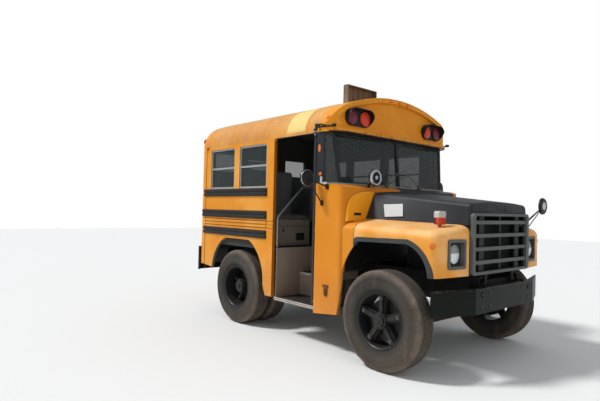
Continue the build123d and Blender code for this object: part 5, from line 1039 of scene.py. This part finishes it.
# Hood: blank number plate on the right side and latch straps; latches at the cowl's foot
hoodPlate = {
    "corners": ((1.211, -0.804, 1.603), (1.436, -0.767, 1.615), (1.386, -0.706, 1.756), (1.143, -0.743, 1.747)),
    "out": (0.035, -0.895, 0.444), "lift": 0.0035, "thickness": 0.0015,
}
latchStraps = {
    "boxes": (((0.940, 1.054, 1.440), (0.050, 0.030, 0.060), 0.006),),
    "tubes": ((((0.945, 1.052, 1.450), (0.965, 1.040, 1.478), (1.000, 1.010, 1.500), (1.030, 0.975, 1.522)),
               0.016, 8),),
}
cowlLatches = {
    "boxes": (((0.686, 1.2235, 0.778), (0.094, 0.012, 0.032), 0.003),
              ((0.692, 1.2265, 0.722), (0.054, 0.018, 0.100), 0.006)),
    "tubes": ((((0.692, 1.236, 0.752), (0.700, 1.240, 0.700), (0.697, 1.232, 0.660)), 0.009, 8),),
}


def buildHoodPlate(bm):
    lift = Vector(hoodPlate["out"]) * hoodPlate["lift"]
    addPlate(bm, [Vector(corner) + lift for corner in hoodPlate["corners"]], hoodPlate["thickness"])


addPiece("hoodPlate", buildHoodPlate, "blankWhite", "tilt_hood", smooth=False)
addPiece("latchStraps", fittings(latchStraps), "rubber")
addPiece("cowlLatches", fittings(cowlLatches), "rustySteel", smooth=False)

# Rounded cheeks of the cowl beside the hood, painted a brighter yellow than the body as painted light, each with
# a bare plate, and the bare hood badge
cheek = {
    "middle": (0.91, 1.70), "seamX": 0.9205, "seamRadius": 0.0045,
    "rings": ((0.917, 1.0), (0.936, 0.985), (0.951, 0.93)),  # x, share of the outline
    "outline": (
        # distance from the middle plane and height
        (0.690, 1.540), (0.690, 1.908), (0.800, 1.903), (0.890, 1.893), (0.970, 1.876), (1.035, 1.851),
        (1.085, 1.818), (1.115, 1.785), (1.135, 1.745), (1.149, 1.695), (1.158, 1.640), (1.162, 1.590),
        (1.164, 1.540),
    ),
}
blankBadges = {"boxes": (((0.953, 0.985, 1.629), (0.006, 0.120, 0.032), 0.002),)}
hoodBadge = {"from": (2.6, 0.015, 1.742), "size": (0.24, 0.050, 0.008), "sunk": 0.001, "bevel": 0.003}


def buildCheeks(bm):
    middle = Vector(cheek["middle"])
    count = len(cheek["outline"])
    for side in (-1, 1):
        rings = []
        for x, share in cheek["rings"]:
            ring = []
            for corner in cheek["outline"]:
                spot = middle + (Vector(corner) - middle) * share
                ring.append(bm.verts.new((x, side * spot.x, spot.y)))
            rings.append(ring)
        for low, high in zip(rings, rings[1:]):
            for index in range(count):
                after = (index + 1) % count
                bm.faces.new((low[index], low[after], high[after], high[index]))
        bm.faces.new(rings[0])
        bm.faces.new(rings[-1])


def buildCheekSeams(bm):
    for side in (-1, 1):
        points = [(cheek["seamX"], side * y, z) for y, z in cheek["outline"][1:]]
        addTube(bm, points, cheek["seamRadius"], 6)


def buildHoodBadge(bm):
    # Laid on the hood's nose where a line from the front meets it
    found, point, normal, face = nodes["hood"].ray_cast(Vector(hoodBadge["from"]), Vector(rearAxis))
    if found:
        out = normal.normalized()
        across = Vector((0, 1, 0))
        run = (across - out * across.dot(out)).normalized()
        turn = Matrix((run, out.cross(run).normalized(), out)).transposed()
        lift = hoodBadge["size"][2] / 2 - hoodBadge["sunk"]
        addBox(bm, point + out * lift, hoodBadge["size"], hoodBadge["bevel"], turn)


addPiece("cowlCheeks", buildCheeks, "cheekPaintedLight", smooth=False)
addPiece("cheekSeams", buildCheekSeams, "seamPaint")
addPiece("blankBadges", fittings(blankBadges), "badgePaint", smooth=False)
addPiece("hoodBadge", buildHoodBadge, "badgePaint", "tilt_hood", smooth=False)

# Step well: white nosings, ribbed mats, kick strips
steps = {"rearX": -0.290, "frontX": 0.478, "outerY": -1.206, "lowZ": 0.498, "splitY": -0.759, "highZ": 0.802,
         "innerY": -0.444, "ribPitch": 0.024}
stepLength = steps["frontX"] - steps["rearX"]
stepMiddle = (steps["frontX"] + steps["rearX"]) / 2
nosings = {"boxes": (
    ((stepMiddle, steps["outerY"] + 0.002, steps["lowZ"] - 0.010), (stepLength, 0.012, 0.040), 0.004),
    ((stepMiddle, steps["splitY"] - 0.001, steps["highZ"] - 0.008), (stepLength, 0.010, 0.032), 0.004),
)}
kickStrips = {"boxes": (((0.10, -0.4465, 1.134), (0.76, 0.006, 0.05), 0.002),
                        ((-0.345, -0.80, 1.158), (0.014, 0.70, 0.022), 0.003))}


def buildMats(bm):
    length = stepLength - 0.03
    treads = ((steps["outerY"] + 0.03, steps["splitY"] - 0.01, steps["lowZ"]),
              (steps["splitY"] + 0.02, steps["innerY"] - 0.01, steps["highZ"]))
    for low, high, level in treads:
        addBox(bm, (stepMiddle, (low + high) / 2, level + 0.002), (length, high - low, 0.004))
        ribs = int((high - low) / steps["ribPitch"])
        for index in range(ribs):
            y = low + (index + 0.5) * (high - low) / ribs
            addBox(bm, (stepMiddle, y, level + 0.0055), (length - 0.01, 0.009, 0.004))


addPiece("stepNosings", fittings(nosings, (1,)), "whitePaint", smooth=False)
addPiece("stepMats", buildMats, "rubber", smooth=False)
addPiece("kickStrips", fittings(kickStrips, (1,)), "rubber", smooth=False)

# Heater cabinet: louvred vent, knob, lid edge
heater = {"x": -0.402, "ventY": (-0.751, -0.598), "ventZ": (1.233, 1.334), "louvres": 6, "louvreSlope": 30}
heaterTrim = {
    "boxes": (((-0.398, -0.985, 1.372), (0.010, 0.030, 0.050), 0.004),),
    "tubes": ((((-0.396, -1.125, 1.532), (-0.396, -0.49, 1.532)), 0.007, 8),
              (((-0.396, -0.985, 1.390), (-0.382, -0.985, 1.372), (-0.396, -0.985, 1.350)), 0.005, 8),
              (((-0.398, -1.12, 1.430), (-0.398, -0.49, 1.430)), 0.0035, 6)),
}


def buildVent(bm):
    lowY, highY = heater["ventY"]
    lowZ, highZ = heater["ventZ"]
    middleY, width, height = (lowY + highY) / 2, highY - lowY, highZ - lowZ
    addBox(bm, (heater["x"] + 0.001, middleY, (lowZ + highZ) / 2), (0.004, width, height), 0.001)
    slope = Matrix.Rotation(math.radians(heater["louvreSlope"]), 4, "Y")
    for index in range(heater["louvres"]):
        z = lowZ + (index + 0.5) * height / heater["louvres"]
        addBox(bm, (heater["x"] + 0.006, middleY, z), (0.012, width - 0.012, 0.003), turnMatrix=slope)


addPiece("heaterVent", buildVent, "rubber", smooth=False)
addPiece("heaterTrim", fittings(heaterTrim, (1,)), "studSteel", smooth=False)
print("stage: step well and heater")

# Rear: corner markers and the blank number plate
rearMarker = {
    "axis": (-0.72, 0.69, 0.05), "place": (-2.216, 1.167, 2.722), "sunk": 0.006,
    "profile": ((0.0, 0.046), (0.014, 0.044), (0.026, 0.032), (0.032, 0.0)),
}
rearPlate = {"boxes": (((-2.2515, -0.62, 1.22), (0.004, 0.30, 0.15), 0.0015),)}
addPiece("rearMarkers", markersFrom(rearMarker), "lamp_red")
addPiece("rearPlate", fittings(rearPlate, (1,)), "blankWhite", smooth=False)

# Near-black screens beside the radiator core as painted shade, closing the gaps where the engine bay shows, and
# the core's fins and tubes
shadeScreens = {
    "boxes": (((2.100, 0.617, 1.275), (0.004, 0.206, 0.490), 0.001),
              ((2.100, 0.572, 1.590), (0.004, 0.116, 0.138), 0.001),
              *(((2.104, 0.617, 1.07 + index * 0.07), (0.006, 0.200, 0.006), 0.0) for index in range(7))),
}
core = {"fins": 46, "halfWidth": 0.56, "finX": 2.0735, "finZ": 1.30, "finSize": (0.003, 0.004, 0.58),
        "tubes": 7, "tubeX": 2.0745, "tubeLowZ": 1.05, "tubePitch": 0.085, "tubeSize": (0.004, 1.13, 0.006)}


def buildCoreFins(bm):
    for index in range(core["fins"]):
        y = -core["halfWidth"] + index * 2 * core["halfWidth"] / (core["fins"] - 1)
        addBox(bm, (core["finX"], y, core["finZ"]), core["finSize"])
    for index in range(core["tubes"]):
        addBox(bm, (core["tubeX"], 0.0, core["tubeLowZ"] + index * core["tubePitch"]), core["tubeSize"])


addPiece("grilleShadeScreens", fittings(shadeScreens), "shadeHoleBlack", "tilt_hood", smooth=False)
addPiece("coreFins", buildCoreFins, "finMetal", smooth=False)

# Roof hatch cover standing open: shallow tray with slats on its bare inside
hatch = {"rearX": 0.118, "frontX": 0.205, "lowY": -0.400, "highY": 0.200, "footZ": 3.10, "topZ": 3.3895,
         "wall": 0.012, "slats": 5, "slatInset": 0.08, "slatSize": (0.012, 0.024), "bevel": 0.002}


def buildHatch(bm):
    wall, bevel = hatch["wall"], hatch["bevel"]
    depth = hatch["frontX"] - hatch["rearX"]
    height = hatch["topZ"] - hatch["footZ"]
    width = hatch["highY"] - hatch["lowY"]
    midX = (hatch["frontX"] + hatch["rearX"]) / 2
    midY = (hatch["lowY"] + hatch["highY"]) / 2
    midZ = hatch["footZ"] + height / 2
    addBox(bm, (hatch["rearX"] + wall / 2, midY, midZ), (wall, width, height), bevel)
    addBox(bm, (midX, midY, hatch["topZ"] - wall / 2), (depth, width, wall), bevel)
    for y in (hatch["lowY"] + wall / 2, hatch["highY"] - wall / 2):
        addBox(bm, (midX, y, midZ), (depth, wall, height), bevel)
    inset = hatch["slatInset"]
    for index in range(hatch["slats"]):
        y = hatch["lowY"] + inset + index * (width - 2 * inset) / (hatch["slats"] - 1)
        addBox(bm, (hatch["rearX"] + wall + 0.006, y, midZ), (*hatch["slatSize"], height - 0.02), bevel)


addPiece("roofHatch", buildHatch, "box_wood", "bus", False, ("roof_box",))

# Front bumper bolts
bolts = {"radius": 0.011, "height": 0.012, "x": 2.2655, "y": (-0.52, -0.36, 0.36, 0.52), "z": (0.72, 0.84)}
addRepeats("bumperBolts", nutTree, bolts["radius"], bolts["height"],
           [((bolts["x"], y, z), (1, 0, 0)) for y in bolts["y"] for z in bolts["z"]], "studSteel", "bus")
print("stage: rear and bumper")

# Seats: driver's seat and benches, padded by a cloth simulation that starts from their blocks
pads = {
    "step": 0.040, "inset": 0.010, "cap": 0.017, "pressure": 4.0, "frames": 20, "quality": 5,
    "driver": (
        # low and high corners of each pad
        ((-0.246, 0.224, 1.524), (0.206, 0.676, 1.636)),
        ((-0.366, 0.224, 1.524), (-0.256, 0.676, 2.136)),
    ),
    "benchX": (-1.230, -1.960), "benchY": (0.194, 1.161), "benchFoot": 1.434,
    "back": (0.004, 0.106, 2.270), "seat": (0.118, 0.508, 1.573),  # rear, front and top, from benchX
}
padBoxes = list(pads["driver"])
for side in (-1, 1):
    near, far = sorted(side * y for y in pads["benchY"])
    for benchX in pads["benchX"]:
        for rear, front, top in (pads["back"], pads["seat"]):
            padBoxes.append(((benchX + rear, near, pads["benchFoot"]), (benchX + front, far, top)))


def addPad(bm, low, high):
    # Closed block of small faces, its edges and corners drawn in
    size = high - low
    middle = (low + high) / 2
    counts = [max(3, round(size[axis] / pads["step"])) for axis in range(3)]
    verts = {}

    def vertAt(key):
        if key not in verts:
            share = [2 * key[axis] / counts[axis] - 1 for axis in range(3)]
            outer = sum(1 for value in share if abs(value) > 0.99)
            pull = (1.0, 1.0, 0.985, 0.96)[outer]
            half = [(size[axis] / 2 - pads["inset"]) * pull for axis in range(3)]
            verts[key] = bm.verts.new(middle + Vector([share[axis] * half[axis] for axis in range(3)]))
        return verts[key]

    for axis in range(3):
        first, second = (axis + 1) % 3, (axis + 2) % 3
        for level in (0, counts[axis]):
            for i in range(counts[first]):
                for j in range(counts[second]):
                    ring = []
                    for di, dj in ((0, 0), (1, 0), (1, 1), (0, 1)):
                        key = [0, 0, 0]
                        key[axis], key[first], key[second] = level, i + di, j + dj
                        ring.append(vertAt(tuple(key)))
                    bm.faces.new(ring if level else list(reversed(ring)))


def buildPads(bm):
    for low, high in padBoxes:
        addPad(bm, Vector(low), Vector(high))


def padOut(item):
    # Cloth under pressure, each point held within the cap of where it started
    cloth = item.modifiers.new("padding", "CLOTH")
    cloth.settings.quality = pads["quality"]
    cloth.settings.use_pressure = True
    cloth.settings.uniform_pressure_force = pads["pressure"]
    cloth.settings.effector_weights.gravity = 0.0
    cloth.point_cache.frame_start = 1
    cloth.point_cache.frame_end = pads["frames"]
    for frameNumber in range(1, pads["frames"] + 1):
        scene.frame_set(frameNumber)
    puffed = evaluatedMesh(item)
    moved = [vert.co.copy() for vert in puffed.vertices]
    item.modifiers.remove(cloth)
    bpy.data.meshes.remove(puffed)
    for vert, new in zip(item.data.vertices, moved):
        way = new - vert.co
        if way.length > pads["cap"]:
            way = way.normalized() * pads["cap"]
        vert.co += way
    scene.frame_set(1)


seatPiece = meshFrom("seatPads", buildPads)
padOut(seatPiece)
print("stage: seats padded")
smoother = seatPiece.modifiers.new("smooth", "SUBSURF")
smoother.levels = 1
smoother.render_levels = 1
finished = evaluatedMesh(seatPiece)
seatPiece.modifiers.clear()
seatPiece.data = finished
seatPiece.data.shade_smooth()
dress(seatPiece, "seat_vinyl", "bus", ("seat_cushions",))

# Floor
ground = meshFrom("ground", lambda bm: bmesh.ops.create_grid(bm, x_segments=1, y_segments=1, size=30), False)
floorMaterial, tree, shader = newMaterial("floorPale")
setInputs(tree, shader, {"Base Color": light["floor"], "Roughness": 0.9})
ground.data.materials.append(floorMaterial)
